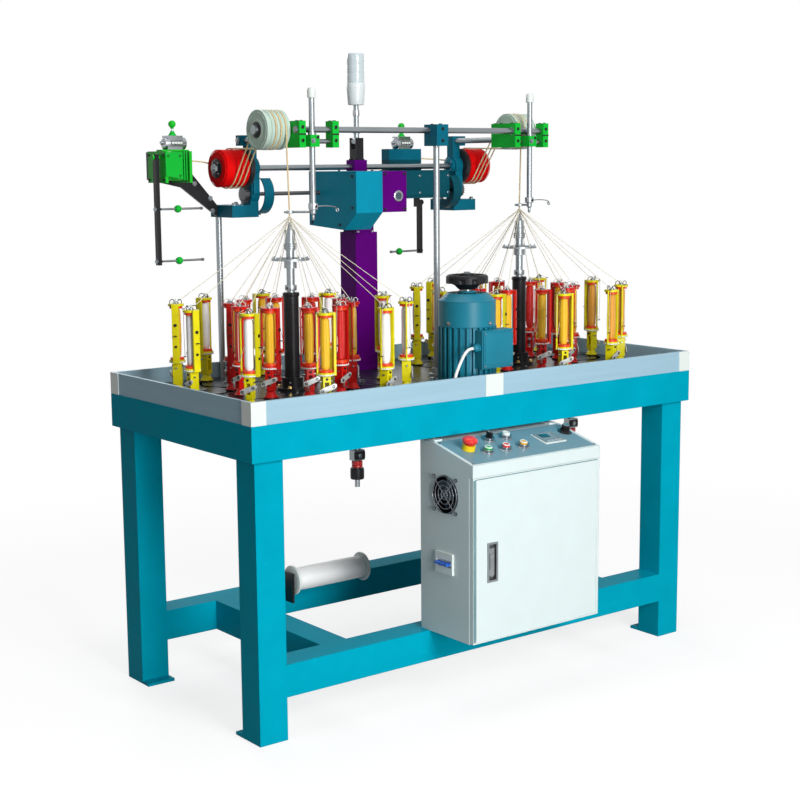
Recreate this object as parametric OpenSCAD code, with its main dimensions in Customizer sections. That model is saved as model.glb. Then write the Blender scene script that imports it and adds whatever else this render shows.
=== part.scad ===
// Two-head braiding machine on a steel table. Millimetres, Z up, floor at z = 0.
// X runs along the table, -Y is the front with the control cabinet.

/* [Table] */
// Length of the table
table_l = 1500; // [1450:10:1700]
// Depth of the table
table_w = 700; // [690:10:800]
// Side of the square leg tube
leg_side = 80; // [60:1:90]
// Step from the apron's face back to the leg's face
leg_inset = 15; // [5:1:30]
// Height of the apron's lower edge
apron_z = 700; // [695:5:800]
// Height of the apron beams
apron_h = 88; // [80:1:110]
// Thickness of the apron beams
apron_t = 40; // [20:1:45]
// Height of the lower rails' underside
rail_z = 108; // [60:1:112]
// Height of the lower rails
rail_h = 82; // [60:1:84]
// Distance of the cross rails from the middle
cross_x = 460; // [420:5:560]
// Length of a foot plate
foot_l = 112; // [105:1:140]
// Thickness of a foot plate
foot_t = 8; // [5:1:15]
// Radius of the floor bolt holes
foot_hole_r = 7; // [5:0.5:9]
// Distance of the floor bolt hole from the plate's inner end
foot_hole_in = 16; // [12:1:20]

/* [Bed] */
// Thickness of the track plates
bed_t = 15; // [10:1:25]
// Height of the rim around the bed
rim_h = 57; // [40:1:80]
// Thickness of the rim
rim_t = 8; // [4:0.5:9]
// Length of a rim corner piece along each side
corner_l = 42; // [30:1:60]
// Thickness of a rim corner piece
corner_t = 2; // [1:0.5:4]
// Length of the joint covers in the middle of the long sides
joint_l = 60; // [40:1:90]
// Thickness of the plate that carries the gears
gear_plate_t = 10; // [6:1:14]
// Space between the gear plate and the track plates
gear_room = 66; // [60:1:68]

/* [Braiding heads] */
// Distance of each head's axis from the table's end
head_x = 350; // [330:5:355]
// Horn gears around each head
gear_count = 10; // [8:2:12]
// Circle on which the outer carriers stand
outer_r = 300; // [280:1:303]
// Width of the track
track_w = 12; // [8:1:16]
// Radius of a horn gear's spindle
spindle_r = 10; // [8:0.5:12]
// Radius of the column sleeve
sleeve_r = 20; // [15:1:28]
// Height of the column sleeve above the bed
sleeve_h = 247; // [200:1:260]
// Radius of the column tube
tube_r = 10.5; // [8:0.5:13]
// Height of the forming nozzle's tip above the bed
tip_h = 439; // [420:1:445]
// Radius of the yarn ring on the column
yarn_ring_r = 50; // [35:1:55]
// Height of the yarn ring above the bed
yarn_ring_h = 340; // [300:1:350]
// Height of the braiding point above the bed
braid_h = 448; // [446:1:456]

/* [Carriers] */
// Radius of a carrier's foot
foot_r = 18; // [14:0.5:18.5]
// Height of the bobbin seat above the bed
seat_h = 84; // [75:1:95]
// Length of the wound part of a bobbin
wound_l = 128; // [100:1:135]
// Radius of a bobbin's flange
flange_r = 18; // [16:0.5:19]
// Thickness of a bobbin's flange
flange_t = 6; // [4:0.5:8]
// Radius of the wound yarn
yarn_r = 12.5; // [9:0.5:15]
// Radius of the bobbin spindle
bobbin_pin_r = 3; // [2:0.5:4]
// Thickness of the top plate
top_t = 6; // [4:0.5:10]
// Radius of a yarn
strand_r = 0.8; // [0.5:0.1:1]

/* [Motor] */
// Distance of the motor's axis from the table's front edge
motor_y = 112; // [100:1:120]
// Radius of the motor over the fins
motor_r = 78; // [65:1:82]
// Height of the finned body above the bed
motor_body_h = 160; // [130:1:180]
// Height of the fan cowl
cowl_h = 88; // [60:1:100]
// Depth of a cooling fin
fin_d = 8; // [5:0.5:12]
// Cooling fins around the body
fin_count = 28; // [16:2:32]
// Radius of the motor shaft
motor_shaft_r = 12; // [8:0.5:14]
// Radius of the handwheel
handwheel_r = 56; // [45:1:65]
// Height of the handwheel
handwheel_h = 40; // [30:1:50]

/* [Take-off] */
// Distance of the drum shaft behind the middle
drum_y = 250; // [240:1:260]
// Height of the drum shaft
drum_z = 1380; // [1370:1:1390]
// Radius of the drum shaft
drum_shaft_r = 8; // [6:0.5:9]
// Radius of a take-off drum
drum_r = 50; // [46:0.5:52]
// Length of a take-off drum
drum_l = 76; // [60:1:80]
// Gear size per tooth
gear_module = 2; // [1.8:0.1:2.1]
// Teeth of the drum gear
drum_teeth = 50; // [46:1:52]
// Teeth of the drive pinion
pinion_teeth = 20; // [18:1:22]
// Face width of the take-off gears
gear_w = 14; // [10:1:15]
// Radius of the lower drive shaft
drive_shaft_r = 5.5; // [4:0.5:7]
// Distance of each take-off housing from the head's axis
housing_x = 54; // [48:1:60]
// Thickness of a take-off housing
housing_t = 26; // [20:1:30]
// Distance of the top rod in front of the middle
rod_y = 22; // [20:1:28]
// Height of the top rod and of the guide wheels
rod_z = 1478; // [1470:1:1490]
// Radius of the steel guide rods
rod_r = 8; // [6:0.5:9]
// Radius of the upright posts
post_r = 8.5; // [7:0.5:9]
// Radius of a guide wheel
wheel_r = 51; // [45:0.5:53]
// Length of a guide wheel
wheel_l = 70; // [60:1:80]
// Depth of a guide wheel's grooves
groove_d = 4; // [2:0.5:6]
// Side of the take-off column's square tube
column_side = 76; // [60:1:80]
// Distance of the column behind the middle
column_y = 245; // [243:1:250]
// Width of the gear head on the column
gear_head_w = 84; // [78:1:96]

/* [Signal lamp] */
// Radius of the lamp
lamp_r = 26; // [18:0.5:28]
// Height of the lamp's lens
lens_h = 82; // [60:1:100]
// Height of the lamp's base
lamp_base_h = 62; // [45:1:75]
// Height of the lamp's underside
lamp_z = 1554; // [1540:1:1570]

/* [Cabinet] */
// Width of the cabinet
cab_w = 440; // [430:5:500]
// Distance of the cabinet's middle to the right of the table's middle
cab_x = 10; // [0:1:20]
// Distance of the cabinet's back from the table's front edge
cab_back = 50; // [40:1:55]
// Depth of the cabinet with its door
cab_d = 208; // [200:1:240]
// Height of the front edge of the control panel above the cabinet's underside
panel_front_h = 460; // [440:1:475]
// Height of the cabinet's top above its underside
cab_h = 499; // [490:1:502]
// Depth of the flat strip behind the control panel
cab_flat = 55; // [45:1:60]
// Thickness of the cabinet's sheet
sheet = 3; // [2:0.5:4]
// Thickness of the door
door_t = 14; // [10:1:16]
// Height of the lip above the door
lip_h = 32; // [25:1:40]
// Radius of a button's bezel
bezel_r = 15; // [13:0.5:16]
// Radius of a button's cap
cap_r = 10.5; // [8:0.5:11.5]
// Travel of a push button
button_travel = 3; // [2:0.5:4]
// Radius of the cabinet fan's opening
fan_r = 50; // [40:1:55]

/* [Hidden] */
$fn = 48;

// Gaps between pieces that move and those that stand still
run_gap = 0.3;
fit_gap = 0.05;
seat_gap = 0.02;

// Levels of the table and bed
bed_z = apron_z + apron_h;
top_z = bed_z + bed_t;
gear_plate_z = bed_z - gear_room - gear_plate_t;
rail_top = rail_z + rail_h;
leg_x = table_l/2 - leg_inset - leg_side/2;
leg_y = table_w/2 - leg_inset - leg_side/2;
foot_hole_y = leg_y + leg_side/2 - foot_l + foot_hole_in;
head_at = table_l/2 - head_x;
motor_at = table_w/2 - motor_y;
heads = [-head_at, head_at];

// Track geometry: horn gears that just touch on one circle
gear_step = 360/gear_count;
pitch_r = outer_r/(1 + sin(gear_step/2));
gear_r = pitch_r*sin(gear_step/2);
inner_r = pitch_r - gear_r;
island_r = pitch_r*cos(gear_step/2);

// Carrier levels above the bed
bobbin_z = seat_h + run_gap;
wound_z = bobbin_z + flange_t;
bobbin_top = wound_z + wound_l + flange_t;
carrier_h = bobbin_top + run_gap + top_t;
spine_w = 18;
spine_t = 6;
spine_y = flange_r + 1.5;

// Take-off levels
drive_z = drum_z - gear_module*(drum_teeth + pinion_teeth)/2;
housing_at = head_at - housing_x;
post_x = head_at + 14;
count_x = -head_at - 240;
count_w = 80;
rim_in = corner_t + rim_t;
post_y = table_w/2 - rim_in - post_r - 1;
head_top = drum_z - drum_shaft_r - 3;
head_bottom = head_top - 113;
head_front = 73;
head_back = 300;
box_l = 90;
neck_z = head_bottom - 60;
support_z = rod_z - 24;
clamp_x = [20 - head_at, head_at - 41];
clamp_end_x = [124 - head_at, head_at + 67];
guide_x = [46 - head_at, head_at];
guide_r = 7.5;
guide_y = -rod_y - 20;
guide_bottom = top_z + braid_h + 14;
guide_top = rod_z + 100;
post_clamp = [66, -30];
door_gap = 0.5;

// Cabinet levels: the panel slopes from the flat strip down to the front edge
cab_z = rail_top;
cab_rear = table_w/2 - cab_back;
cab_left = cab_x - cab_w/2;
cab_right = cab_x + cab_w/2;
cab_front = -cab_rear - cab_d;
shell_front = cab_front + door_t + door_gap;
panel_rise = cab_h - panel_front_h;
panel_run = cab_d - cab_flat;
panel_tilt = atan(panel_rise/panel_run);
door_top = panel_front_h - lip_h;
fan_y = -cab_rear - 100;
fan_z = cab_z + 371;
breaker_z = cab_z + 194;
spool_pos = [-158, 200, 222];
spool_l = 250;

// Tools shared by the pieces
module at_heads() {
    for (x = heads) translate([x, 0, 0]) children();
}
module around(count, radius) {
    for (i = [0:count - 1]) rotate([0, 0, i*360/count]) translate([radius, 0, 0]) children();
}
module four_corners(x, y) {
    for (sx = [-1, 1], sy = [-1, 1]) translate([sx*x, sy*y, 0]) children();
}
module along_x(r, l) {
    rotate([0, 90, 0]) cylinder(r = r, h = l);
}
module along_y(r, l) {
    rotate([-90, 0, 0]) cylinder(r = r, h = l);
}
module box(size) {
    translate([-size[0]/2, -size[1]/2, 0]) cube(size);
}
module rod_between(p, q, r) {
    d = q - p;
    translate(p) rotate([0, acos(d[2]/norm(d)), atan2(d[1], d[0])]) cylinder(r = r, h = norm(d), $fn = 16);
}
// Spur gear with straight flanks, thinned so that a pair runs free
tooth_corners = [[-0.22, -1.15], [-0.1, 0.85], [0.1, 0.85], [0.22, -1.15]];
function gear_points(teeth, m) = [for (i = [0:teeth - 1]) for (c = tooth_corners)
    let (r = m*(teeth/2 + c[1]), a = 360*(i + c[0])/teeth) [r*cos(a), r*sin(a)]];
module spur_gear(teeth, m, w) {
    linear_extrude(w) polygon(gear_points(teeth, m));
}
// Tube swept along a list of points
function unit(v) = v/norm(v);
function heading(path, i) = unit(path[min(i + 1, len(path) - 1)] - path[max(i - 1, 0)]);
function ring_point(path, i, r, a) =
    let (t = heading(path, i), u = unit(cross(t, [1, 0.05, 0])), w = cross(t, u))
    path[i] + r*(cos(a)*u + sin(a)*w);
module swept_tube(path, r, sides = 8) {
    rings = len(path);
    points = [for (i = [0:rings - 1]) for (k = [0:sides - 1]) ring_point(path, i, r, 360*k/sides)];
    faces = concat(
        [for (i = [0:rings - 2]) for (k = [0:sides - 1]) let (a = i*sides + k, b = i*sides + (k + 1)%sides)
            for (f = [[a, b, b + sides], [a, b + sides, a + sides]]) f],
        [for (k = [1:sides - 2]) [0, k + 1, k]],
        [for (k = [1:sides - 2]) let (e = (rings - 1)*sides) [e, e + k, e + k + 1]]);
    polyhedron(points = points, faces = faces);
}

// Welded table frame
module leg() {
    difference() {
        union() {
            translate([0, leg_y, foot_t]) box([leg_side, leg_side, apron_z - foot_t]);
            translate([-leg_side/2, leg_y + leg_side/2 - foot_l, 0]) cube([leg_side, foot_l, foot_t]);
        }
        translate([0, foot_hole_y, -1]) cylinder(r = foot_hole_r, h = foot_t + 2);
    }
}
module base_frame() {
    color("darkcyan") {
        for (sx = [-1, 1], flip = [0, 1]) translate([sx*leg_x, 0, 0]) mirror([0, flip, 0]) leg();
        for (sy = [-1, 1]) translate([0, sy*leg_y, rail_z]) box([2*leg_x - leg_side, leg_side, rail_h]);
        for (sx = [-1, 1]) translate([sx*cross_x, 0, rail_z]) box([leg_side, 2*leg_y - leg_side, rail_h]);
        for (sy = [-1, 1]) translate([0, sy*(table_w - apron_t)/2, apron_z]) box([table_l, apron_t, apron_h]);
        for (sx = [-1, 1]) translate([sx*(table_l - apron_t)/2, 0, apron_z])
            box([apron_t, table_w - 2*apron_t, apron_h]);
    }
}

// Bed: gear plate, horn gears, track plates and rim
pillar_r = 10;
pillar_circle = inner_r - 45;
gear_plate_top = gear_plate_z + gear_plate_t;
core_hole_r = 8;
module gear_plate() {
    color("dimgray") difference() {
        union() {
            translate([0, 0, gear_plate_z]) box([table_l - 2*apron_t, table_w - 2*apron_t, gear_plate_t]);
            at_heads() around(5, pillar_circle)
                translate([0, 0, gear_plate_top]) cylinder(r = pillar_r, h = gear_room);
        }
        at_heads() translate([0, 0, gear_plate_z - 1]) cylinder(r = core_hole_r, h = gear_plate_t + 2);
    }
}
horn_teeth = 3*gear_count;
horn_t = 8;
horn_slot_r = track_w/2 + 2;
hub_r = spindle_r + 7;
module horn_gear(turn) {
    difference() {
        union() {
            translate([0, 0, 8]) rotate([0, 0, turn]) spur_gear(horn_teeth, 2*gear_r/horn_teeth, 14);
            translate([0, 0, run_gap]) cylinder(r = hub_r, h = gear_room - 2*run_gap);
            translate([0, 0, gear_room - horn_t - 4]) cylinder(r = gear_r - 4, h = horn_t);
        }
        translate([0, 0, -1]) cylinder(r = spindle_r + fit_gap, h = gear_room + 2);
        around(4, gear_r - 2)
            translate([0, 0, gear_room - horn_t - 5]) cylinder(r = horn_slot_r, h = horn_t + 2);
    }
}
module horn_gears() {
    color("slategray") at_heads() for (i = [0:gear_count - 1])
        rotate([0, 0, i*gear_step]) translate([pitch_r, 0, gear_plate_top]) horn_gear(i%2*180/horn_teeth);
}
bed_fit = 0.2;
module bed_plate() {
    color("black") difference() {
        translate([0, 0, bed_z]) box([table_l - 2*(rim_in + bed_fit), table_w - 2*(rim_in + bed_fit), bed_t]);
        at_heads() {
            translate([0, 0, bed_z - 1]) cylinder(r = island_r, h = bed_t + 2);
            around(gear_count, pitch_r)
                translate([0, 0, bed_z - 1]) cylinder(r = gear_r + track_w/2, h = bed_t + 2);
        }
        translate([0, -motor_at, bed_z - 1]) cylinder(r = motor_shaft_r + 2, h = bed_t + 2);
    }
}
module track_islands() {
    color("black") at_heads() {
        difference() {
            translate([0, 0, bed_z]) cylinder(r = island_r, h = bed_t);
            around(gear_count, pitch_r)
                translate([0, 0, bed_z - 1]) cylinder(r = gear_r + track_w/2, h = bed_t + 2);
            translate([0, 0, bed_z - 1]) cylinder(r = core_hole_r, h = bed_t + 2);
        }
        around(gear_count, pitch_r) {
            translate([0, 0, bed_z]) cylinder(r = gear_r - track_w/2, h = bed_t);
            translate([0, 0, gear_plate_top]) cylinder(r = spindle_r, h = gear_room + 1);
        }
    }
}
rim_x = table_l/2 - corner_t;
rim_y = table_w/2 - corner_t;
module rim_rails() {
    color("silver") {
        for (sy = [-1, 1]) translate([0, sy*(rim_y - rim_t/2), bed_z]) box([2*rim_x, rim_t, rim_h]);
        for (sx = [-1, 1]) translate([sx*(rim_x - rim_t/2), 0, bed_z]) box([rim_t, 2*(rim_y - rim_t), rim_h]);
    }
}
module rim_corners() {
    color("whitesmoke") {
        for (a = [0, 1], b = [0, 1]) mirror([a, 0, 0]) mirror([0, b, 0]) difference() {
            translate([table_l/2 - corner_l, table_w/2 - corner_l, bed_z]) cube([corner_l, corner_l, rim_h]);
            translate([0, 0, bed_z - 1]) cube([rim_x, rim_y, rim_h + 2]);
        }
        for (sy = [-1, 1]) translate([0, sy*(table_w - corner_t)/2, bed_z]) box([joint_l, corner_t, rim_h]);
    }
}

// Columns in the middle of the heads
collar_r = sleeve_r + 8;
module column_sleeves() {
    color("black") at_heads() translate([0, 0, top_z]) difference() {
        union() {
            cylinder(r = sleeve_r, h = sleeve_h);
            cylinder(r = collar_r, h = 34);
            cylinder(r = collar_r + 14, h = 8);
        }
        translate([0, 0, -1]) cylinder(r = tube_r + seat_gap, h = sleeve_h + 2);
    }
}
nozzle_h = 20;
nozzle_r = tube_r - 2;
head_r = tube_r + 3;
ring_t = 5;
module forming_tubes() {
    color("silver") at_heads() translate([0, 0, top_z]) {
        cylinder(r = tube_r, h = tip_h - nozzle_h);
        translate([0, 0, yarn_ring_h - 20]) cylinder(r = head_r + 3, h = 20);
        translate([0, 0, yarn_ring_h]) difference() {
            cylinder(r = yarn_ring_r, h = ring_t);
            translate([0, 0, -1]) cylinder(r = yarn_ring_r - 9, h = ring_t + 2);
        }
        for (a = [0, 60, 120]) rotate([0, 0, a]) translate([0, 0, yarn_ring_h])
            box([2*yarn_ring_r - 12, 8, ring_t]);
        translate([0, 0, yarn_ring_h + 26]) cylinder(r = head_r, h = tip_h - nozzle_h - yarn_ring_h - 26);
        translate([0, 0, yarn_ring_h + 30]) cylinder(r = head_r + 3, h = 14);
        translate([0, 0, tip_h - nozzle_h]) cylinder(r1 = nozzle_r, r2 = 1.5, h = nozzle_h);
    }
}

// Yarn carriers: X points away from the column
seat_r = flange_r + 2.5;
seat_t = 8;
body_z = 20;
rod_side_r = 2.5;
module carrier_frame() {
    difference() {
        union() {
            translate([0, 0, run_gap]) cylinder(r = foot_r, h = 5);
            translate([0, 0, run_gap + 5]) cylinder(r1 = foot_r - 2, r2 = 9, h = body_z - run_gap - 5);
            translate([0, 0, body_z]) box([24, 20, seat_h - seat_t - body_z]);
            translate([0, 0, seat_h - seat_t]) cylinder(r = seat_r, h = seat_t);
            translate([-spine_w/2, spine_y, seat_h - seat_t])
                cube([spine_w, spine_t, carrier_h - seat_h + seat_t]);
            translate([0, -spine_y - rod_side_r/2, seat_h - seat_t])
                cylinder(r = rod_side_r, h = carrier_h - seat_h + seat_t, $fn = 16);
            translate([0, 0, carrier_h - top_t]) cylinder(r = seat_r, h = top_t);
            translate([0, 0, seat_h - 1])
                cylinder(r = bobbin_pin_r, h = carrier_h - seat_h - top_t + 2, $fn = 24);
        }
        translate([0, 0, body_z + 12]) box([30, 11, 28]);
    }
}
bobbin_core_r = bobbin_pin_r + 3;
module bobbin() {
    difference() {
        union() {
            translate([0, 0, bobbin_z]) cylinder(r = flange_r, h = flange_t);
            translate([0, 0, wound_z - 1]) cylinder(r = bobbin_core_r, h = wound_l + 2);
            translate([0, 0, wound_z + wound_l]) cylinder(r = flange_r - 1, h = flange_t);
        }
        translate([0, 0, seat_h - 1]) cylinder(r = bobbin_pin_r + fit_gap, h = carrier_h, $fn = 24);
    }
}
apex_r = 6;
strand_gap = 1;
module yarn(radius, apex_drop) {
    translate([0, 0, wound_z]) difference() {
        cylinder(r = yarn_r, h = wound_l);
        translate([0, 0, -1]) cylinder(r = bobbin_core_r + seat_gap, h = wound_l + 2);
    }
    rod_between([0, 0, carrier_h + strand_gap], [apex_r - radius, 0, braid_h - apex_drop], strand_r);
}
module carrier_set(side, radius) {
    translate([side*head_at, 0, top_z]) around(gear_count, radius) children();
}
module left_outer_carriers() { color("gold") carrier_set(-1, outer_r) carrier_frame(); }
module left_outer_bobbins() { color("orangered") carrier_set(-1, outer_r) bobbin(); }
module left_outer_yarn() { color("white") carrier_set(-1, outer_r) yarn(outer_r, 0); }
module left_inner_carriers() { color("crimson") carrier_set(-1, inner_r) carrier_frame(); }
module left_inner_bobbins() { color("orangered") carrier_set(-1, inner_r) bobbin(); }
module left_inner_yarn() { color("gold") carrier_set(-1, inner_r) yarn(inner_r, apex_r); }
module right_outer_carriers() { color("gold") carrier_set(1, outer_r) carrier_frame(); }
module right_outer_bobbins() { color("orangered") carrier_set(1, outer_r) bobbin(); }
module right_outer_yarn() { color("peru") carrier_set(1, outer_r) yarn(outer_r, 0); }
module right_inner_carriers() { color("crimson") carrier_set(1, inner_r) carrier_frame(); }
module right_inner_bobbins() { color("orangered") carrier_set(1, inner_r) bobbin(); }
module right_inner_yarn() { color("gold") carrier_set(1, inner_r) yarn(inner_r, apex_r); }

// Motor on the front of the bed
base_t = 14;
chamfer = 20;
cowl_top = top_z + motor_body_h + cowl_h;
// Terminal box on the front of the motor, let into the fins
terminal = [107, 40, 100];
terminal_x = -33;
terminal_back = motor_r - 18;
terminal_z = motor_body_h - terminal[2] - 4.5;
function fin_points() = [for (i = [0:fin_count - 1]) for (c = [[-0.28, 0], [-0.2, 1], [0.2, 1], [0.28, 0]])
    let (r = motor_r - fin_d*(1 - c[1]), a = 360*(i + c[0])/fin_count) [r*cos(a), r*sin(a)]];
module terminal_block(gap) {
    translate([terminal_x - gap, -terminal_back - terminal[1], terminal_z - gap])
        cube([terminal[0] + 2*gap, terminal[1] + gap, terminal[2] + 2*gap]);
}
module motor_body() {
    color("darkcyan") translate([0, -motor_at, top_z]) difference() {
        union() {
            cylinder(r = motor_r + 3, h = base_t);
            translate([0, 0, base_t]) linear_extrude(motor_body_h - base_t) polygon(fin_points());
            translate([0, 0, motor_body_h]) cylinder(r = motor_r - 2, h = cowl_h - chamfer);
            translate([0, 0, motor_body_h + cowl_h - chamfer])
                cylinder(r1 = motor_r - 2, r2 = motor_r - 24, h = chamfer);
        }
        translate([0, 0, -1]) cylinder(r = motor_shaft_r + fit_gap, h = motor_body_h + cowl_h + 2);
        terminal_block(seat_gap);
    }
}
lid_edge = 3;
lid_t = 3;
gland_l = 14;
gland_y = terminal_back + 24;
gland_z = 110;
module terminal_box() {
    color("teal") translate([0, -motor_at, top_z]) {
        terminal_block(0);
        translate([terminal_x + lid_edge, -terminal_back - terminal[1] - lid_t, terminal_z + lid_edge])
            cube([terminal[0] - 2*lid_edge, lid_t + 1, terminal[2] - 2*lid_edge]);
        translate([terminal_x - gland_l, -gland_y, gland_z]) along_x(9, gland_l + 1);
    }
}
cable_r = 4;
// Route of the cable from the gland's end, down and into the bed
cable_path = [[-0.3, 0, 0], [-10, 0, 0], [-19, -0.5, -2], [-28, -1.5, -7], [-36, -2.5, -14.5], [-43, -3.5, -23.5],
    [-50, -4, -33.5], [-56, -4.5, -43.5], [-62, -5, -54.5], [-67, -5.5, -65.5], [-71, -6, -76.5], [-74, -6, -87.5],
    [-75, -6, -98.5], [-75, -6, 0.3 - gland_z]];
module motor_cable() {
    color("white") translate([terminal_x - gland_l, -motor_at - gland_y, top_z + gland_z])
        swept_tube(cable_path, cable_r);
}
pulley_r = 36;
wheel_z = cowl_top + 9;
module motor_shaft() {
    color("silver") translate([0, -motor_at, 0]) {
        translate([0, 0, gear_plate_top + 10])
            cylinder(r = motor_shaft_r, h = wheel_z + handwheel_h - gear_plate_top - 10);
        translate([0, 0, gear_plate_top + 14]) cylinder(r = pulley_r, h = 30);
    }
}
module handwheel() {
    color("black") translate([0, -motor_at, wheel_z]) difference() {
        union() {
            cylinder(r = motor_shaft_r + 10, h = handwheel_h);
            translate([0, 0, handwheel_h - 24]) cylinder(r = handwheel_r, h = 18);
        }
        translate([0, 0, -1]) cylinder(r = motor_shaft_r + seat_gap, h = handwheel_h + 2);
        around(10, handwheel_r + 5) translate([0, 0, -1]) cylinder(r = 10, h = handwheel_h + 2);
    }
}

// Take-off: column, gear head, housings, shafts, drums and wheels
module takeoff_column() {
    color("indigo") difference() {
        union() {
            translate([0, column_y, top_z]) box([column_side, column_side, neck_z - top_z]);
            translate([0, column_y, top_z]) box([column_side + 44, column_side + 44, 12]);
            translate([0, column_y, neck_z]) box([column_side - 14, column_side - 14, head_bottom - neck_z]);
            translate([-gear_head_w/2, head_front, head_bottom])
                cube([gear_head_w, head_back - head_front, head_top - head_bottom]);
            translate([0, drum_y, head_top]) box([44, 40, drum_z + 20 - head_top]);
        }
        translate([-gear_head_w, drum_y, drive_z]) along_x(drive_shaft_r + fit_gap, 2*gear_head_w);
        translate([-gear_head_w, drum_y, drum_z]) along_x(drum_shaft_r + fit_gap, 2*gear_head_w);
    }
}
boss = 28;
foot_z = drive_z - 62;
foot_h = 33;
guard_r = 54;
guard_w = 30;
guard_open = 27;
module housing() {
    difference() {
        union() {
            translate([-housing_at - housing_t, drum_y, 0]) {
                translate([0, 0, drum_z]) along_x(30, housing_t);
                translate([0, 0, drive_z]) along_x(26, housing_t);
                translate([0, -26, drive_z]) cube([housing_t, 52, drum_z - drive_z]);
                translate([0, -boss/2, drum_z]) cube([housing_t, boss, support_z - drum_z]);
                translate([-22, -boss/2, support_z - boss/2]) cube([housing_t + 22, boss, boss]);
            }
            translate([-post_x - 16, drum_y - 18, foot_z])
                cube([post_x + 16 - housing_at, post_y + 32 - drum_y, foot_h]);
            translate([-housing_at - housing_t, drum_y - 18, foot_z]) cube([housing_t, 36, drive_z - foot_z]);
        }
        translate([-housing_at - housing_t - 1, drum_y, drum_z])
            along_x(drum_shaft_r + fit_gap, housing_t + 2);
        translate([-housing_at - housing_t - 1, drum_y, drive_z])
            along_x(drive_shaft_r + fit_gap, housing_t + 2);
    }
    difference() {
        translate([-housing_at - 1, drum_y, drive_z]) along_x(guard_r, guard_w);
        translate([-housing_at - 2, drum_y, drive_z]) along_x(guard_r - 4, guard_w + 2);
        translate([-housing_at - 2, drum_y + 6, drive_z - guard_r]) cube([guard_w + 2, guard_r, 2*guard_r]);
        translate([-housing_at - 2, drum_y - guard_r, drum_z - guard_open])
            cube([guard_w + 2, 2*guard_r, guard_r]);
    }
}
arm_box_y = 34;
arm_box_z = drive_z - 22;
counter_block = [130, 18, 62];
module takeoff_housings() {
    color("darkcyan") {
        housing();
        mirror([1, 0, 0]) housing();
        difference() {
            translate([-gear_head_w/2 - box_l, 0, 0]) rotate([90, 0, 90]) linear_extrude(box_l)
                polygon([[head_front, head_top], [head_back, head_top], [head_back, head_bottom - 38],
                    [head_front + 57, head_bottom - 48], [head_front, head_bottom]]);
            translate([-gear_head_w/2 - box_l - 1, drum_y, drive_z])
                along_x(drive_shaft_r + fit_gap, box_l + 2);
        }
        difference() {
            translate([gear_head_w/2, drum_y - arm_box_y, arm_box_z])
                cube([housing_at - gear_head_w/2, 2*arm_box_y, head_top - arm_box_z]);
            translate([gear_head_w/2 - 1, drum_y, drive_z]) along_x(drive_shaft_r + 2, housing_at);
            translate([housing_at - guard_w - 2, drum_y - guard_r - 1, drive_z - guard_r - 1])
                cube([guard_w + 4, 2*guard_r + 2, 2*guard_r + 2]);
        }
        translate([counter_block[0], drum_y + counter_block[1], head_top]) cube([120, 36, counter_block[2]]);
        translate([post_clamp[0], -rod_y - 8, rod_z]) difference() {
            translate([-20, -28, -42]) cube([40, 56, 58]);
            translate([-21, 8, 0]) along_x(rod_r + seat_gap, 42);
        }
    }
}
gear_x = housing_at + housing_t + run_gap;
drum_x = gear_x + gear_w + 2;
shaft_end = drum_x + drum_l;
module drum_shaft() {
    color("silver") translate([-shaft_end - 14, drum_y, drum_z]) along_x(drum_shaft_r, 2*shaft_end + 28);
    color("dimgray") for (flip = [0, 1]) mirror([flip, 0, 0])
        translate([-gear_x - gear_w, drum_y, drum_z]) difference() {
            rotate([0, 90, 0]) spur_gear(drum_teeth, gear_module, gear_w);
            translate([-1, 0, 0]) along_x(drum_shaft_r + seat_gap, gear_w + 2);
        }
}
module takeoff_drums() {
    color("red") for (flip = [0, 1]) mirror([flip, 0, 0])
        translate([-shaft_end, drum_y, drum_z]) difference() {
            rotate([0, 90, 0]) rotate_extrude() polygon([[0, 0], [drum_r - 6, 0], [drum_r, 6],
                [drum_r, drum_l - 3], [drum_r - 3, drum_l], [0, drum_l]]);
            translate([-1, 0, 0]) along_x(drum_shaft_r + seat_gap, drum_l + 2);
        }
}
module drive_shaft() {
    color("silver") translate([-gear_x - gear_w, drum_y, drive_z])
        along_x(drive_shaft_r, 2*(gear_x + gear_w));
    color("dimgray") for (flip = [0, 1]) mirror([flip, 0, 0])
        translate([-gear_x - gear_w, drum_y, drive_z]) difference() {
            rotate([0, 90, 0]) rotate([0, 0, 180 + 180/pinion_teeth])
                spur_gear(pinion_teeth, gear_module, gear_w);
            translate([-1, 0, 0]) along_x(drive_shaft_r + seat_gap, gear_w + 2);
        }
}

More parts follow.
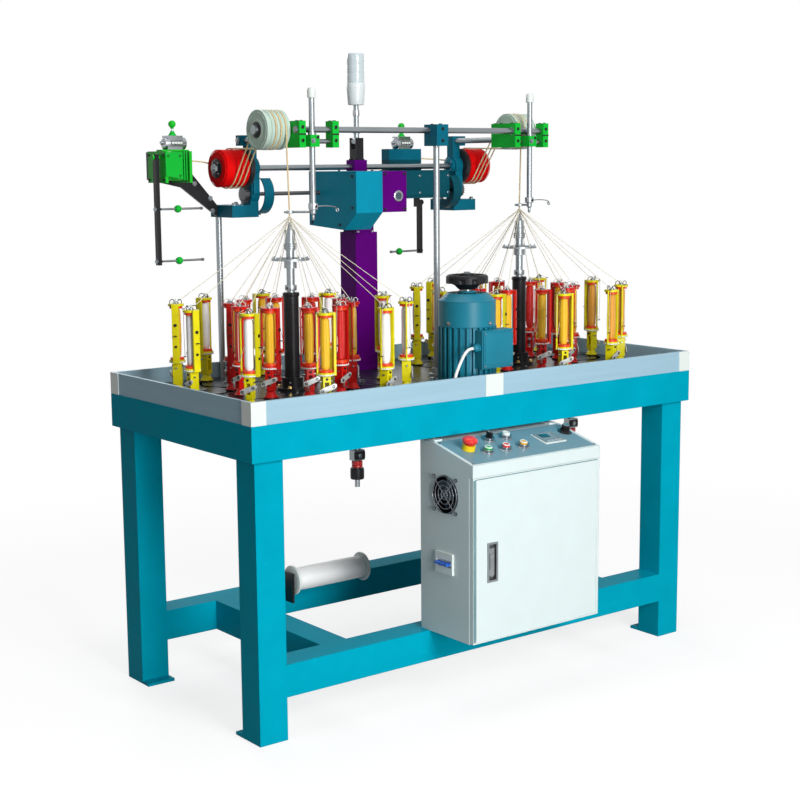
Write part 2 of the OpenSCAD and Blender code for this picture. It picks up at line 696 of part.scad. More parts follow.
// Rods, clamps and guide wheels above the heads
wheel_y = 50;
axle_r = 7;
low_rod_r = 6;
low_rod_z = rod_z - 30;
clamp_t = 20;
clamp_low = rod_z - 46;
clamp_h = 68;
clamp_back = wheel_y + 16;
wheel_in = head_at - 8;
wheel_out = wheel_in + wheel_l;
collar = 12;
module guide_rods() {
    color("silver") {
        translate([-post_x, post_y, top_z]) cylinder(r = post_r, h = foot_z - top_z);
        translate([post_clamp[0], post_clamp[1], top_z]) cylinder(r = post_r, h = rod_z - 42 - top_z);
        translate([clamp_x[0] - clamp_t/2, -rod_y, rod_z])
            along_x(rod_r, clamp_end_x[1] - clamp_x[0] + clamp_t);
        for (x = clamp_x) translate([x, clamp_back, support_z]) along_y(rod_r, drum_y - boss/2 - clamp_back);
        for (i = [0, 1]) translate([clamp_x[i] + clamp_t/2, -rod_y, low_rod_z])
            along_x(low_rod_r, clamp_end_x[i] - clamp_x[i] - clamp_t);
        translate([-wheel_out - collar, wheel_y, rod_z])
            along_x(axle_r, wheel_out + collar + clamp_x[0] + clamp_t/2);
        translate([clamp_x[1] - clamp_t/2, wheel_y, rod_z])
            along_x(axle_r, wheel_out + collar - clamp_x[1] + clamp_t/2);
        translate([-wheel_out - collar, wheel_y, rod_z]) along_x(axle_r + 5, collar - run_gap);
        translate([wheel_out + run_gap, wheel_y, rod_z]) along_x(axle_r + 5, collar - run_gap);
        translate([wheel_in - collar, wheel_y, rod_z]) along_x(axle_r + 5, collar - run_gap);
        for (i = [0, 1]) {
            translate([guide_x[i], guide_y, guide_bottom])
                cylinder(r = guide_r, h = guide_top - guide_bottom);
            thread_eye(heads[i], guide_x[i]);
        }
    }
}
eye_r = 14;
module thread_eye(x, rod_x) {
    difference() {
        union() {
            translate([x, 0, guide_bottom]) cylinder(r = eye_r, h = 5);
            rod_between([x, 0, guide_bottom + 3], [rod_x, guide_y, guide_bottom + 3], 3);
        }
        translate([x, 0, guide_bottom - 1]) cylinder(r = 5, h = 7);
    }
}
module rod_clamps() {
    color("limegreen") for (i = [0, 1]) {
        difference() {
            translate([clamp_x[i] - clamp_t/2, -rod_y - 16, clamp_low])
                cube([clamp_t, clamp_back + rod_y + 16, clamp_h]);
            translate([clamp_x[i] - clamp_t, -rod_y, rod_z]) along_x(rod_r + seat_gap, 2*clamp_t);
            translate([clamp_x[i] - clamp_t, wheel_y, rod_z]) along_x(axle_r + seat_gap, 2*clamp_t);
        }
        difference() {
            translate([clamp_end_x[i] - clamp_t/2, -rod_y - 16, clamp_low]) cube([clamp_t, 32, clamp_h]);
            translate([clamp_end_x[i] - clamp_t, -rod_y, rod_z]) along_x(rod_r + seat_gap, 2*clamp_t);
        }
        difference() {
            translate([guide_x[i] - 14, guide_y - 14, low_rod_z - 14]) cube([28, 46, 30]);
            translate([guide_x[i] - 15, -rod_y, low_rod_z]) along_x(low_rod_r + seat_gap, 30);
            translate([guide_x[i], guide_y, low_rod_z - 15]) cylinder(r = guide_r + seat_gap, h = 32);
        }
    }
}
grooves = 4;
groove_pitch = 15;
groove_w = 8;
groove_in = (wheel_l - (grooves - 1)*groove_pitch)/2;
groove_shape = [[-groove_w/2, 0], [-1, 1], [1, 1], [groove_w/2, 0]];
module guide_wheel() {
    difference() {
        rotate([0, 90, 0]) rotate_extrude() polygon(concat([[0, 0], [wheel_r, 0]],
            [for (k = [0:grooves - 1]) for (c = groove_shape)
                [wheel_r - groove_d*c[1], groove_in + groove_pitch*k + c[0]]],
            [[wheel_r, wheel_l], [0, wheel_l]]));
        translate([-1, 0, 0]) along_x(axle_r + fit_gap, wheel_l + 2);
    }
}
module left_wheel() {
    color("white") translate([-wheel_out, wheel_y, rod_z]) guide_wheel();
}
module right_wheel() {
    color("white") translate([wheel_in, wheel_y, rod_z]) guide_wheel();
}

// Braided ropes: up through the eyes, then laced crosswise round the wheels and the drums
rope_r = 2;
rope_gap = 0.8;
rope_turns = 3;
rope_shift = 4;
rope_step = 15;
wheel_axis = [wheel_y, rod_z];
drum_axis = [drum_y, drum_z];
wheel_wrap = wheel_r - groove_d + rope_r + rope_gap;
drum_wrap = drum_r + rope_r + rope_gap;
lace = drum_axis - wheel_axis;
lace_slope = atan2(lace[1], lace[0]);
lace_spread = acos((wheel_wrap + drum_wrap)/norm(lace));
leave_a = lace_slope + lace_spread;
return_a = lace_slope - lace_spread;
function arc_points(x, shift, axis, r, from, to) = let (n = ceil(abs(to - from)/rope_step))
    [for (i = [0:n]) let (a = from + (to - from)*i/n)
        [x + shift*i/n, axis[0] + r*cos(a), axis[1] + r*sin(a)]];
function rope_path(side, exit) = let (last = rope_turns - 1,
    x = [for (k = [0:last]) side*(wheel_in + groove_in + groove_pitch*k)])
    concat([[side*head_at, 0, guide_bottom - 10], [side*head_at, 0, guide_bottom + 12],
            [x[0], wheel_y - wheel_wrap, rod_z - 40]],
        arc_points(x[0], 0, wheel_axis, wheel_wrap, 180, leave_a),
        [for (k = [0:last - 1]) each concat(
            arc_points(x[k], side*rope_shift, drum_axis, drum_wrap, leave_a + 180, return_a + 540),
            arc_points(x[k + 1], 0, wheel_axis, wheel_wrap, return_a + 360, leave_a))],
        arc_points(x[last], side*rope_shift, drum_axis, drum_wrap, leave_a + 180, 360),
        exit);
rope_exits = [
    [[-head_at - 46, 303, 1388], [-head_at - 58, 303, 1394], [-head_at - 78, 303, 1398],
        [count_x + count_w + 40, 302, 1401], [count_x + count_w + run_gap, 300, 1404]],
    [[head_at + 30, 304, 1388], [head_at + 18, 306, 1393], [head_at, 307, 1396], [head_at - 34, 307, 1398],
        [head_at - 80, 303, 1401], [counter_block[0] + 120 + run_gap, 296, 1404]]];
module braid_ropes() {
    color("goldenrod") for (i = [0, 1]) swept_tube(rope_path(sign(heads[i]), rope_exits[i]), rope_r, 6);
}

// Signal lamp on a folding pole
fold_z = drum_z + 72;
knuckle_r = 11;
fold_pin_r = 4;
cheek = 6;
module signal_lamp() {
    color("white") translate([0, drum_y, lamp_z]) {
        cylinder(r = lamp_r, h = lamp_base_h);
        translate([0, 0, lamp_base_h]) cylinder(r = lamp_r - 1.5, h = lens_h);
    }
}
module lamp_stand() {
    color("silver") translate([0, drum_y, 0]) difference() {
        union() {
            translate([0, 0, fold_z]) cylinder(r = 7.5, h = lamp_z - fold_z);
            translate([0, -knuckle_r, fold_z]) along_y(knuckle_r, 2*knuckle_r);
        }
        translate([0, -knuckle_r - 1, fold_z]) along_y(fold_pin_r + fit_gap, 2*knuckle_r + 2);
    }
}
module lamp_bracket() {
    reach = knuckle_r + run_gap + cheek;
    color("black") translate([0, drum_y, drum_z + 20]) {
        translate([-12, -reach, 0]) cube([24, 2*reach, 30]);
        for (y = [-reach, knuckle_r + run_gap]) translate([-12, y, 0])
            cube([24, cheek, fold_z - drum_z - 10]);
        translate([0, -reach, fold_z - drum_z - 20]) along_y(fold_pin_r, 2*reach);
    }
}

// Length counters and the arms that hang from them
ball_end = 67.5;
module ball(r) {
    flat = r*sin(ball_end);
    rotate_extrude() polygon(concat([[0, -flat]],
        [for (a = [-ball_end:22.5:ball_end]) [r*cos(a), r*sin(a)]], [[0, flat]]));
}
knob_r = 10;
arm_y = 244;
arm_pivot_z = drum_z + 30;
arm_pin_r = 4;
counter_z = drum_z + 46;
right_arm_x = 223;
right_pivot_z = arm_box_z - 13;
module counter_box() {
    box([44, 30, 36]);
    translate([0, 0, 35]) cylinder(r = 3, h = 26);
    translate([0, 0, 66]) ball(knob_r);
}
module counters() {
    color("limegreen") {
        for (x = [count_x, count_x + count_w - 8]) translate([x, arm_y - 30, counter_z - 82])
            cube([8, 94, 82]);
        for (z = [-16, -70]) translate([count_x + 1, arm_y, counter_z + z]) along_x(6, count_w - 2);
        translate([count_x, arm_y - 15, counter_z - 1]) cube([count_w, 30, 5]);
        translate([count_x + count_w/2, arm_y, counter_z + 4]) counter_box();
        translate([count_x - 22, arm_y, arm_pivot_z]) along_x(arm_pin_r, 23);
        translate([count_x - 22, arm_y, arm_pivot_z]) along_x(arm_pin_r + 3, 4);
        translate([0, arm_y + 72, 0]) rotate([90, 0, 0]) linear_extrude(8)
            polygon([[-post_x - 16, foot_z + 1],
            [-post_x - 16, foot_z + foot_h - 1], [count_x + 92, counter_z - 14], [count_x, counter_z - 2],
            [count_x, counter_z - 74], [count_x + 100, counter_z - 96]]);
        translate([counter_block[0] + 60, drum_y + counter_block[1] + 18, head_top + counter_block[2]])
            counter_box();
        translate([right_arm_x - 9, drum_y - 10, arm_box_z - 26]) cube([8, 20, 26]);
        translate([right_arm_x - 9, drum_y, right_pivot_z]) along_x(arm_pin_r, 25);
        translate([right_arm_x + 12, drum_y, right_pivot_z]) along_x(arm_pin_r + 3, 4);
    }
}
module left_arm() {
    color("black") translate([count_x - 16, arm_y, 0]) difference() {
        union() {
            translate([0, -8, arm_pivot_z - 280]) cube([10, 16, 288]);
            for (z = [-134, -270]) translate([9, 0, arm_pivot_z + z]) {
                along_x(3, 128);
                translate([57, 0, 0]) rotate([0, 90, 0]) ball(knob_r);
            }
        }
        translate([-1, 0, arm_pivot_z]) along_x(arm_pin_r + fit_gap, 12);
    }
}
module right_arm() {
    color("black") translate([right_arm_x, drum_y, 0]) difference() {
        union() {
            translate([0, -8, right_pivot_z - 150]) cube([10, 16, 158]);
            translate([-102, 0, right_pivot_z - 142]) along_x(3, 103);
            translate([-72, 0, right_pivot_z - 142]) rotate([0, 90, 0]) ball(knob_r);
        }
        translate([-1, 0, right_pivot_z]) along_x(arm_pin_r + fit_gap, 12);
    }
}

// Control cabinet
lip_z = cab_z + door_top + door_gap;
module cabinet_shell() {
    color("gainsboro") difference() {
        translate([cab_left, 0, 0]) rotate([90, 0, 90]) linear_extrude(cab_w)
            polygon([[-cab_rear, cab_z], [shell_front, cab_z], [shell_front, lip_z], [cab_front, lip_z],
                [cab_front, cab_z + panel_front_h], [-cab_rear - cab_flat, cab_z + cab_h],
                [-cab_rear, cab_z + cab_h]]);
        translate([cab_left + sheet, 0, 0]) rotate([90, 0, 90]) linear_extrude(cab_w - 2*sheet)
            polygon([[-cab_rear - sheet, cab_z + sheet], [shell_front - 5, cab_z + sheet],
                [shell_front - 5, cab_z + door_top - 12], [shell_front + sheet, cab_z + door_top - 12],
                [shell_front + sheet, lip_z + sheet], [cab_front + sheet, lip_z + sheet],
                [cab_front + sheet, cab_z + panel_front_h - sheet],
                [-cab_rear - cab_flat, cab_z + cab_h - sheet], [-cab_rear - sheet, cab_z + cab_h - sheet]]);
        translate([cab_left - 1, fan_y, fan_z]) along_x(fan_r, sheet + 2);
    }
}
latch_x = cab_left + 64;
latch_z = cab_z + 207;
latch_pin_z = latch_z + 33;
latch_y = cab_front + 4.5;
latch_pin_r = 1.5;
pocket = [24, 9, 92];
latch_rim = 5;
latch_proud = 3;
module cabinet_door() {
    color("whitesmoke") {
        difference() {
            union() {
                translate([cab_left + 1, cab_front, cab_z + 2]) cube([cab_w - 2, door_t, door_top - 2]);
                translate([latch_x - pocket[0]/2 - latch_rim, cab_front - latch_proud,
                    latch_z - pocket[2]/2 - latch_rim])
                    cube([pocket[0] + 2*latch_rim, latch_proud + 1, pocket[2] + 2*latch_rim]);
            }
            translate([latch_x - pocket[0]/2, cab_front - latch_proud - 1, latch_z - pocket[2]/2])
                cube([pocket[0], pocket[1] + latch_proud + 1, pocket[2]]);
        }
        translate([latch_x - pocket[0]/2, latch_y, latch_pin_z]) along_x(latch_pin_r, pocket[0], $fn = 24);
    }
}
module door_latch() {
    color("dimgray") difference() {
        translate([latch_x - 9, latch_y - 2.5, latch_pin_z - 68]) cube([18, 5, 70]);
        translate([latch_x - 10, latch_y, latch_pin_z]) along_x(latch_pin_r + fit_gap, 20, $fn = 24);
    }
}

// Pieces on the sloped panel, placed from the cabinet's middle and its front edge
panel_end = cab_w/2;
stop_at = [60 - panel_end, 88];
selector_at = [158 - panel_end, 123];
white_at = [216 - panel_end, 123];
green_at = [102 - panel_end, 62];
red_at = [162 - panel_end, 62];
amber_at = [222 - panel_end, 62];
display_at = [panel_end - 108, 83];
knob_at = [panel_end - 30, 103];
module on_panel(spot) {
    translate([cab_x + spot[0], cab_front + spot[1], cab_z + panel_front_h + spot[1]*panel_rise/panel_run])
        rotate([panel_tilt, 0, 0]) children();
}
bezel_h = 9;
bezel_floor = 1.2;
stop_base_h = 14;
module bezel(r, h) {
    difference() {
        cylinder(r = r, h = h);
        translate([0, 0, bezel_floor]) cylinder(r = cap_r + run_gap, h = h);
    }
}
display = [66, 56, 5];
module panel_bezels() {
    color("dimgray") {
        for (spot = [selector_at, white_at, green_at, red_at, amber_at]) on_panel(spot)
            bezel(bezel_r, bezel_h);
        on_panel(stop_at) bezel(bezel_r + 2, stop_base_h);
        on_panel(display_at) difference() {
            box(display);
            translate([0, 0, 3]) box([display[0] - 14, display[1] - 14, 4]);
        }
        on_panel(knob_at) {
            cylinder(r = bezel_r, h = 2);
            cylinder(r = 3, h = 12);
        }
    }
}
cap_low = bezel_floor + button_travel + run_gap;
module push_button(spot) {
    on_panel(spot) translate([0, 0, cap_low]) cylinder(r = cap_r, h = bezel_h + button_travel + 1 - cap_low);
}
module stop_button() {
    color("red") on_panel(stop_at) {
        translate([0, 0, cap_low + 1]) cylinder(r = cap_r, h = stop_base_h + 5 - cap_low);
        translate([0, 0, stop_base_h + 5.5]) cylinder(r1 = 18, r2 = 20, h = 4);
        translate([0, 0, stop_base_h + 9.5]) cylinder(r = 20, h = 5);
        translate([0, 0, stop_base_h + 14.5]) cylinder(r1 = 20, r2 = 16, h = 4);
    }
}
module white_button() { color("white") push_button(white_at); }
module green_button() { color("green") push_button(green_at); }
module red_button() { color("red") push_button(red_at); }
module amber_button() { color("orange") push_button(amber_at); }
module selector() {
    color("black") on_panel(selector_at) {
        translate([0, 0, bezel_floor + run_gap]) cylinder(r = cap_r, h = bezel_h - bezel_floor);
        translate([0, 0, bezel_h]) box([7, 2*cap_r - 3, 11]);
    }
}
module speed_knob() {
    color("black") on_panel(knob_at) difference() {
        union() {
            translate([0, 0, 2 + run_gap]) cylinder(r = 13, h = 6);
            translate([0, 0, 8]) cylinder(r = 10, h = 13);
        }
        translate([0, 0, 1]) cylinder(r = 3 + fit_gap, h = 11.5);
        translate([0, 8, 14]) box([2, 6, 10]);
    }
}

// Fan and breaker on the cabinet's left side: Z points outwards, X up
module on_side(y, z) {
    translate([cab_left, y, z]) rotate([0, -90, 0]) children();
}
fan_t = 25;
fan_side = 2*fan_r + 10;
fan_pin_r = 4;
module fan_frame() {
    color("black") on_side(fan_y, fan_z) {
        for (k = [1:4]) translate([0, 0, 3]) rotate_extrude() translate([12*k, 0]) circle(r = 1.2, $fn = 16);
        for (a = [45, 135]) rotate([0, 0, a]) translate([0, 0, 2]) box([2.4*fan_r, 3, 2]);
        four_corners(0.86*fan_r, 0.86*fan_r) cylinder(r = 5, h = 4.5);
        translate([0, 0, -sheet - fan_t]) {
            difference() {
                box([fan_side, fan_side, fan_t]);
                translate([0, 0, -1]) cylinder(r = fan_r, h = fan_t + 2);
            }
            for (a = [45, 135]) rotate([0, 0, a]) box([2*fan_r + 4, 8, 3]);
            cylinder(r = 14, h = 3);
            cylinder(r = fan_pin_r, h = fan_t - 5);
        }
    }
}
module fan_rotor() {
    color("dimgray") on_side(fan_y, fan_z) translate([0, 0, -sheet - fan_t + 4]) difference() {
        union() {
            cylinder(r = 18, h = 15);
            for (i = [0:6]) rotate([0, 0, i*360/7]) translate([16, 0, 7.5]) rotate([35, 0, 0])
                translate([0, -9, -1]) cube([0.92*fan_r - 16, 18, 2]);
        }
        translate([0, 0, -1]) cylinder(r = fan_pin_r + fit_gap, h = 17);
    }
}
breaker = [55, 68, 6];
toggle_z = 5.4;
toggle_r = 4;
module breaker_body() {
    color("white") on_side(fan_y, breaker_z) {
        difference() {
            box(breaker);
            translate([0, 0, 1]) box([18, 58, breaker[2]]);
        }
        translate([0, -29, toggle_z]) along_y(1.5, 58, $fn = 24);
    }
}
module breaker_toggles() {
    color("royalblue") on_side(fan_y, breaker_z) difference() {
        union() {
            translate([0, -27, toggle_z]) along_y(toggle_r, 54);
            for (y = [-18, 0, 18]) translate([0, y, toggle_z]) box([6, 13, 12]);
        }
        translate([0, -30, toggle_z]) along_y(1.5 + fit_gap, 60, $fn = 24);
    }
}

// Core yarn and stop sensors under the table
spool_pin_r = 6;
spool_flange = 6;
spool_start = spool_pos[0] - spool_l/2;
rail_face = leg_y - leg_side/2;
module spool_bracket() {
    color("black") {
        translate([spool_start - 10, spool_pos[1] - 20, rail_top - 30])
            cube([6, rail_face - spool_pos[1] + 20, 85]);
        translate([spool_start - 5, spool_pos[1], spool_pos[2]]) {
            along_x(spool_pin_r, spool_l + 12);
            translate([spool_l + 5 + run_gap, 0, 0]) along_x(spool_pin_r + 5, 5);
        }
    }
}
module spool() {
    color("tan") translate([spool_start, spool_pos[1], spool_pos[2]]) difference() {
        union() {
            along_x(14, spool_l);
            along_x(42, spool_flange);
            translate([spool_l - spool_flange, 0, 0]) along_x(42, spool_flange);
        }
        translate([-1, 0, 0]) along_x(spool_pin_r + fit_gap, spool_l + 2);
    }
}
module spool_yarn() {
    color("ivory") translate([spool_start + spool_flange, spool_pos[1], spool_pos[2]]) difference() {
        along_x(33, spool_l - 2*spool_flange);
        translate([-1, 0, 0]) along_x(14 + seat_gap, spool_l);
    }
}
module core_spool() {
    spool();
    spool_yarn();
}
module stop_sensors() {
    color("sienna") at_heads() translate([185, -30, gear_plate_z]) {
        translate([0, 0, -190]) cylinder(r = 7, h = 190);
        translate([0, 0, -168]) cylinder(r = 18, h = 30);
        translate([0, 0, -116]) box([34, 24, 28]);
    }
}

base_frame();
gear_plate();
horn_gears();
bed_plate();
track_islands();
rim_rails();
rim_corners();
column_sleeves();
forming_tubes();
motor_body();
terminal_box();
motor_cable();
motor_shaft();
handwheel();
left_outer_carriers();
left_outer_bobbins();
left_outer_yarn();
left_inner_carriers();
left_inner_bobbins();
left_inner_yarn();
right_outer_carriers();
right_outer_bobbins();
right_outer_yarn();
right_inner_carriers();
right_inner_bobbins();
right_inner_yarn();
takeoff_column();
takeoff_housings();
drum_shaft();
takeoff_drums();
drive_shaft();
guide_rods();
rod_clamps();
left_wheel();
right_wheel();
braid_ropes();
signal_lamp();
lamp_stand();
lamp_bracket();
counters();
left_arm();
right_arm();
cabinet_shell();
cabinet_door();
door_latch();
panel_bezels();
stop_button();
white_button();
green_button();
red_button();
amber_button();
selector();
speed_knob();
fan_frame();
fan_rotor();
breaker_body();
breaker_toggles();
spool_bracket();
core_spool();
stop_sensors();
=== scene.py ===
"""Looks of the two-head braiding machine: materials, small parts, yarn, ropes and the studio."""
import math
import bmesh
import bpy
from mathutils import Matrix, Vector


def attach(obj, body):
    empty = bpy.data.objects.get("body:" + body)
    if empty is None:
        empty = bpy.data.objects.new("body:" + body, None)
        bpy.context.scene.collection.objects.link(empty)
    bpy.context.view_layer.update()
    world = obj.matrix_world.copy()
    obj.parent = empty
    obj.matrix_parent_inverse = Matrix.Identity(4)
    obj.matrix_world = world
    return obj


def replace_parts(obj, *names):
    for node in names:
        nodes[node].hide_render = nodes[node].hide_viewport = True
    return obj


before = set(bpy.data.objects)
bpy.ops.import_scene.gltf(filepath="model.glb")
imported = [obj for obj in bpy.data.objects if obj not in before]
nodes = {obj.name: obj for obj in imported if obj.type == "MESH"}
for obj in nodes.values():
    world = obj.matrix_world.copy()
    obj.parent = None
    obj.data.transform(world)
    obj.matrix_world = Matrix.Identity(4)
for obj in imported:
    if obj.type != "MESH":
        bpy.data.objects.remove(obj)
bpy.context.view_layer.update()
scene = bpy.context.scene
scene.view_settings.view_transform = "Standard"

# Places from the CAD model, in millimetres
TOP = 803.0
HALF_L, HALF_W = 750.0, 350.0
HEAD_X = 400.0
HEADS = (-HEAD_X, HEAD_X)
OUTER_R, GEARS = 300.0, 10
PITCH_R = OUTER_R / (1 + math.sin(math.pi / GEARS))
GEAR_R = PITCH_R * math.sin(math.pi / GEARS)
INNER_R = PITCH_R - GEAR_R
WOUND_Z, WOUND_L, CARRIER_H = 90.3, 128.0, 230.6
BRAID_H, APEX_R = 448.0, 6.0
ROD_Z, DRUM_Y, DRUM_Z = 1478.0, 250.0, 1380.0
WHEEL_Y, WHEEL_IN, WHEEL_L = 50.0, 392.0, 70.0
CLAMP_X, CLAMP_END_X, GUIDE_X, GUIDE_Y = (-380.0, 359.0), (-276.0, 467.0), (-354.0, 400.0), -42.0
EYE_Z = 1265.0
MOTOR_Y = -238.0
PANEL_Y, PANEL_Z, PANEL_RISE, PANEL_RUN = -508, 650, 39, 153
PANEL_TILT = math.atan(PANEL_RISE / PANEL_RUN)
STOP, SELECTOR, KNOB = (-150, -420), (-52, -385), (200, -405)
BUTTONS = {"white": (6, -385), "green": (-108, -446), "red": (-48, -446), "amber": (12, -446)}
POST_X, RIM_Z, SENSORS_X = 66, 816, (-215, 585)
# UV lengths per metre along a round shape
WIND_UV = 8


def at(x=0.0, y=0.0, z=0.0):
    return Matrix.Translation((x, y, z))


def turn(axis, degrees):
    return Matrix.Rotation(math.radians(degrees), 4, axis)


def around(place, count, start=0.0):
    """Frames turned about a place's own axis, at even steps."""
    return [place @ turn("Z", start + 360 / count * k) for k in range(count)]


def spokes(n):
    return [(math.cos(2 * math.pi * i / n), math.sin(2 * math.pi * i / n)) for i in range(n)]


def put(name, data):
    piece = bpy.data.objects.new(name, data)
    scene.collection.objects.link(piece)
    return piece


TO_X, TO_Y, TO_LEFT = turn("Y", 90), turn("X", -90), turn("Y", -90)
FRONT = turn("X", 90)
FACE_X = Matrix(((0, 0, 1, 0), (1, 0, 0, 0), (0, 1, 0, 0), (0, 0, 0, 1)))


# Materials
M = {}


def new_material(name):
    m = M[name] = bpy.data.materials.new(name)
    m.use_nodes = True
    return m.node_tree.nodes, m.node_tree.links, m.node_tree.nodes["Principled BSDF"]


def settings(node, **values):
    """Sets a node's inputs by name, with _ for a space."""
    for name, value in values.items():
        node.inputs[name.replace("_", " ")].default_value = value
    return node


def ramp(nd, ln, factor, stops):
    r = nd.new("ShaderNodeValToRGB")
    r.color_ramp.elements.remove(r.color_ramp.elements[1])
    for i, (pos, col) in enumerate(stops):
        e = r.color_ramp.elements[0] if i == 0 else r.color_ramp.elements.new(pos)
        e.position = pos
        e.color = (*col, 1)
    ln.new(factor, r.inputs["Fac"])
    return r.outputs["Color"]


def noise(nd, ln, coords, scale, detail=4.0, stretch=None):
    n = settings(nd.new("ShaderNodeTexNoise"), Scale=scale, Detail=detail)
    if stretch:
        mapping = settings(nd.new("ShaderNodeMapping"), Scale=stretch)
        ln.new(coords, mapping.inputs["Vector"])
        coords = mapping.outputs["Vector"]
    ln.new(coords, n.inputs["Vector"])
    return n.outputs["Fac"]


def combine(nd, ln, operation, first, second):
    n = nd.new("ShaderNodeMath")
    n.operation = operation
    ln.new(first, n.inputs[0])
    ln.new(second, n.inputs[1])
    return n.outputs["Value"]


def spread_over(nd, ln, value, low, high):
    n = settings(nd.new("ShaderNodeMapRange"), To_Min=low, To_Max=high)
    ln.new(value, n.inputs["Value"])
    return n.outputs["Result"]


def mix_colour(nd, ln, factor, first, second):
    """first or second, each a colour or a socket, as the factor says."""
    mix = nd.new("ShaderNodeMix")
    mix.data_type = "RGBA"
    ln.new(factor, mix.inputs["Factor"])
    for socket, colour in (("A", first), ("B", second)):
        if isinstance(colour, tuple):
            mix.inputs[socket].default_value = (*colour, 1)
        else:
            ln.new(colour, mix.inputs[socket])
    return mix.outputs["Result"]


def relief(nd, ln, shader, height, strength, edge=0.0):
    """Bump from a height, on top of edges rounded by a bevel where one is asked for."""
    bump = settings(nd.new("ShaderNodeBump"), Strength=strength, Distance=0.001)
    ln.new(height, bump.inputs["Height"])
    if edge:
        bevel = settings(nd.new("ShaderNodeBevel"), Radius=edge)
        bevel.samples = 4
        ln.new(bevel.outputs["Normal"], bump.inputs["Normal"])
    ln.new(bump.outputs["Normal"], shader.inputs["Normal"])


def shade(colour, k):
    return tuple(min(1.0, c * k) for c in colour)


def finish(name, colour, rough=0.4, metal=0.0, vary=0.08, blotch=9.0, grain=400.0, bump=0.06, spread=0.08,
        stretch=None, edge=0.0, coat=0.0, worn=None, specular=0.5):
    """Slow colour blotches, a fine grain in the relief, uneven gloss and rounded, worn edges."""
    nd, ln, b = new_material(name)
    co = nd.new("ShaderNodeTexCoord").outputs["Object"]
    slow = noise(nd, ln, co, blotch, 5.0, stretch)
    out = ramp(nd, ln, slow, [(0.3, shade(colour, 1 - vary)), (0.52, colour),
        (0.75, shade(colour, 1 + vary))])
    if worn:
        scuff = ramp(nd, ln, noise(nd, ln, co, 34.0, 8.0), [(0.66, (0, 0, 0)), (0.74, (1, 1, 1))])
        out = mix_colour(nd, ln, scuff, out, worn)
    ln.new(out, b.inputs["Base Color"])
    gloss = spread_over(nd, ln, slow, max(0.03, rough - spread), min(1.0, rough + spread))
    ln.new(gloss, b.inputs["Roughness"])
    relief(nd, ln, b, noise(nd, ln, co, grain, 3.0, stretch), bump, edge)
    settings(b, Metallic=metal, Coat_Weight=coat, Specular_IOR_Level=specular)


def crossing_bands(nd, ln, across, along, distortion=0.0):
    """Two sets of slanted bands over the piece's own UVs, which cross each other."""
    uv = nd.new("ShaderNodeTexCoord").outputs["UV"]
    bands = []
    for sign in (1, -1):
        mapping = settings(nd.new("ShaderNodeMapping"), Scale=(sign * across, along, 1))
        ln.new(uv, mapping.inputs["Vector"])
        wave = settings(nd.new("ShaderNodeTexWave"), Scale=1.0, Distortion=distortion, Detail=2.0)
        wave.bands_direction = "DIAGONAL"
        ln.new(mapping.outputs["Vector"], wave.inputs["Vector"])
        bands.append(wave.outputs["Fac"])
    return bands, combine(nd, ln, "MAXIMUM", *bands)


def wound(name, colour, groove_shade, turns, lean, strength, sheen):
    """Yarn wound on a core: fine ridges run round the winding and cross each other; painted shade darkens the
    grooves and painted light the ridge tops.
    """
    nd, ln, b = new_material(name)
    height = crossing_bands(nd, ln, lean, turns, 0.6)[1]
    tint = ramp(nd, ln, height, [(0.0, groove_shade), (0.55, colour), (1.0, shade(colour, 1.12))])
    ln.new(tint, b.inputs["Base Color"])
    relief(nd, ln, b, height, strength)
    settings(b, Roughness=0.38, Sheen_Weight=sheen)


finish("teal_paint", (0.0, 0.33, 0.46), 0.4, vary=0.06, grain=650, bump=0.10, edge=0.002,
    worn=(0.0, 0.36, 0.49), specular=0.015)
finish("motor_teal", (0.004, 0.17, 0.25), 0.42, vary=0.1, grain=500, bump=0.14, edge=0.0015, specular=0.3)
finish("casting_teal", (0.001, 0.13, 0.20), 0.45, vary=0.12, grain=380, bump=0.2, edge=0.002, specular=0.1)
finish("purple_paint", (0.10, 0.0008, 0.17), 0.38, vary=0.1, grain=600, bump=0.1, edge=0.002, specular=0.05)
finish("green_paint", (0.007, 0.46, 0.038), 0.38, vary=0.08, grain=500, bump=0.1, edge=0.0015, specular=0.08)
finish("dark_steel", (0.12, 0.125, 0.13), 0.4, 0.9, vary=0.15, grain=700, bump=0.1)
finish("black_track", (0.010, 0.013, 0.017), 0.26, vary=0.35, blotch=6, grain=900, bump=0.05, edge=0.001,
    specular=0.4)
finish("rim_aluminium", (0.31, 0.48, 0.58), 0.42, vary=0.05, blotch=3, grain=60, bump=0.05,
    stretch=(1, 1, 26), edge=0.001, specular=0.2)
finish("white_plastic", (0.70, 0.76, 0.73), 0.38, vary=0.03, grain=500, bump=0.05, edge=0.001)
finish("black_metal", (0.009, 0.009, 0.011), 0.34, 0.0, vary=0.3, grain=500, bump=0.12, edge=0.001,
    specular=0.2)
finish("bright_steel", (0.25, 0.275, 0.29), 0.36, 1.0, vary=0.05, blotch=14, grain=900, bump=0.008,
    spread=0.04)
finish("black_plastic", (0.010, 0.010, 0.012), 0.42, vary=0.25, grain=700, bump=0.1, edge=0.0008,
    specular=0.2)
finish("yellow_paint", (0.74, 0.66, 0.004), 0.36, vary=0.09, blotch=30, grain=500, bump=0.1, edge=0.001,
    specular=0.25)
finish("red_paint", (0.58, 0.006, 0.004), 0.34, vary=0.1, blotch=30, grain=500, bump=0.1, edge=0.001,
    specular=0.25)
finish("orange_plastic", (0.74, 0.055, 0.008), 0.36, vary=0.07, blotch=40, grain=600, bump=0.05, edge=0.001,
    specular=0.3)
finish("red_rubber", (0.76, 0.003, 0.004), 0.55, vary=0.12, blotch=25, grain=350, bump=0.2, specular=0.06)
finish("nylon", (0.46, 0.59, 0.51), 0.45, vary=0.05, blotch=25, grain=300, bump=0.08, edge=0.001)
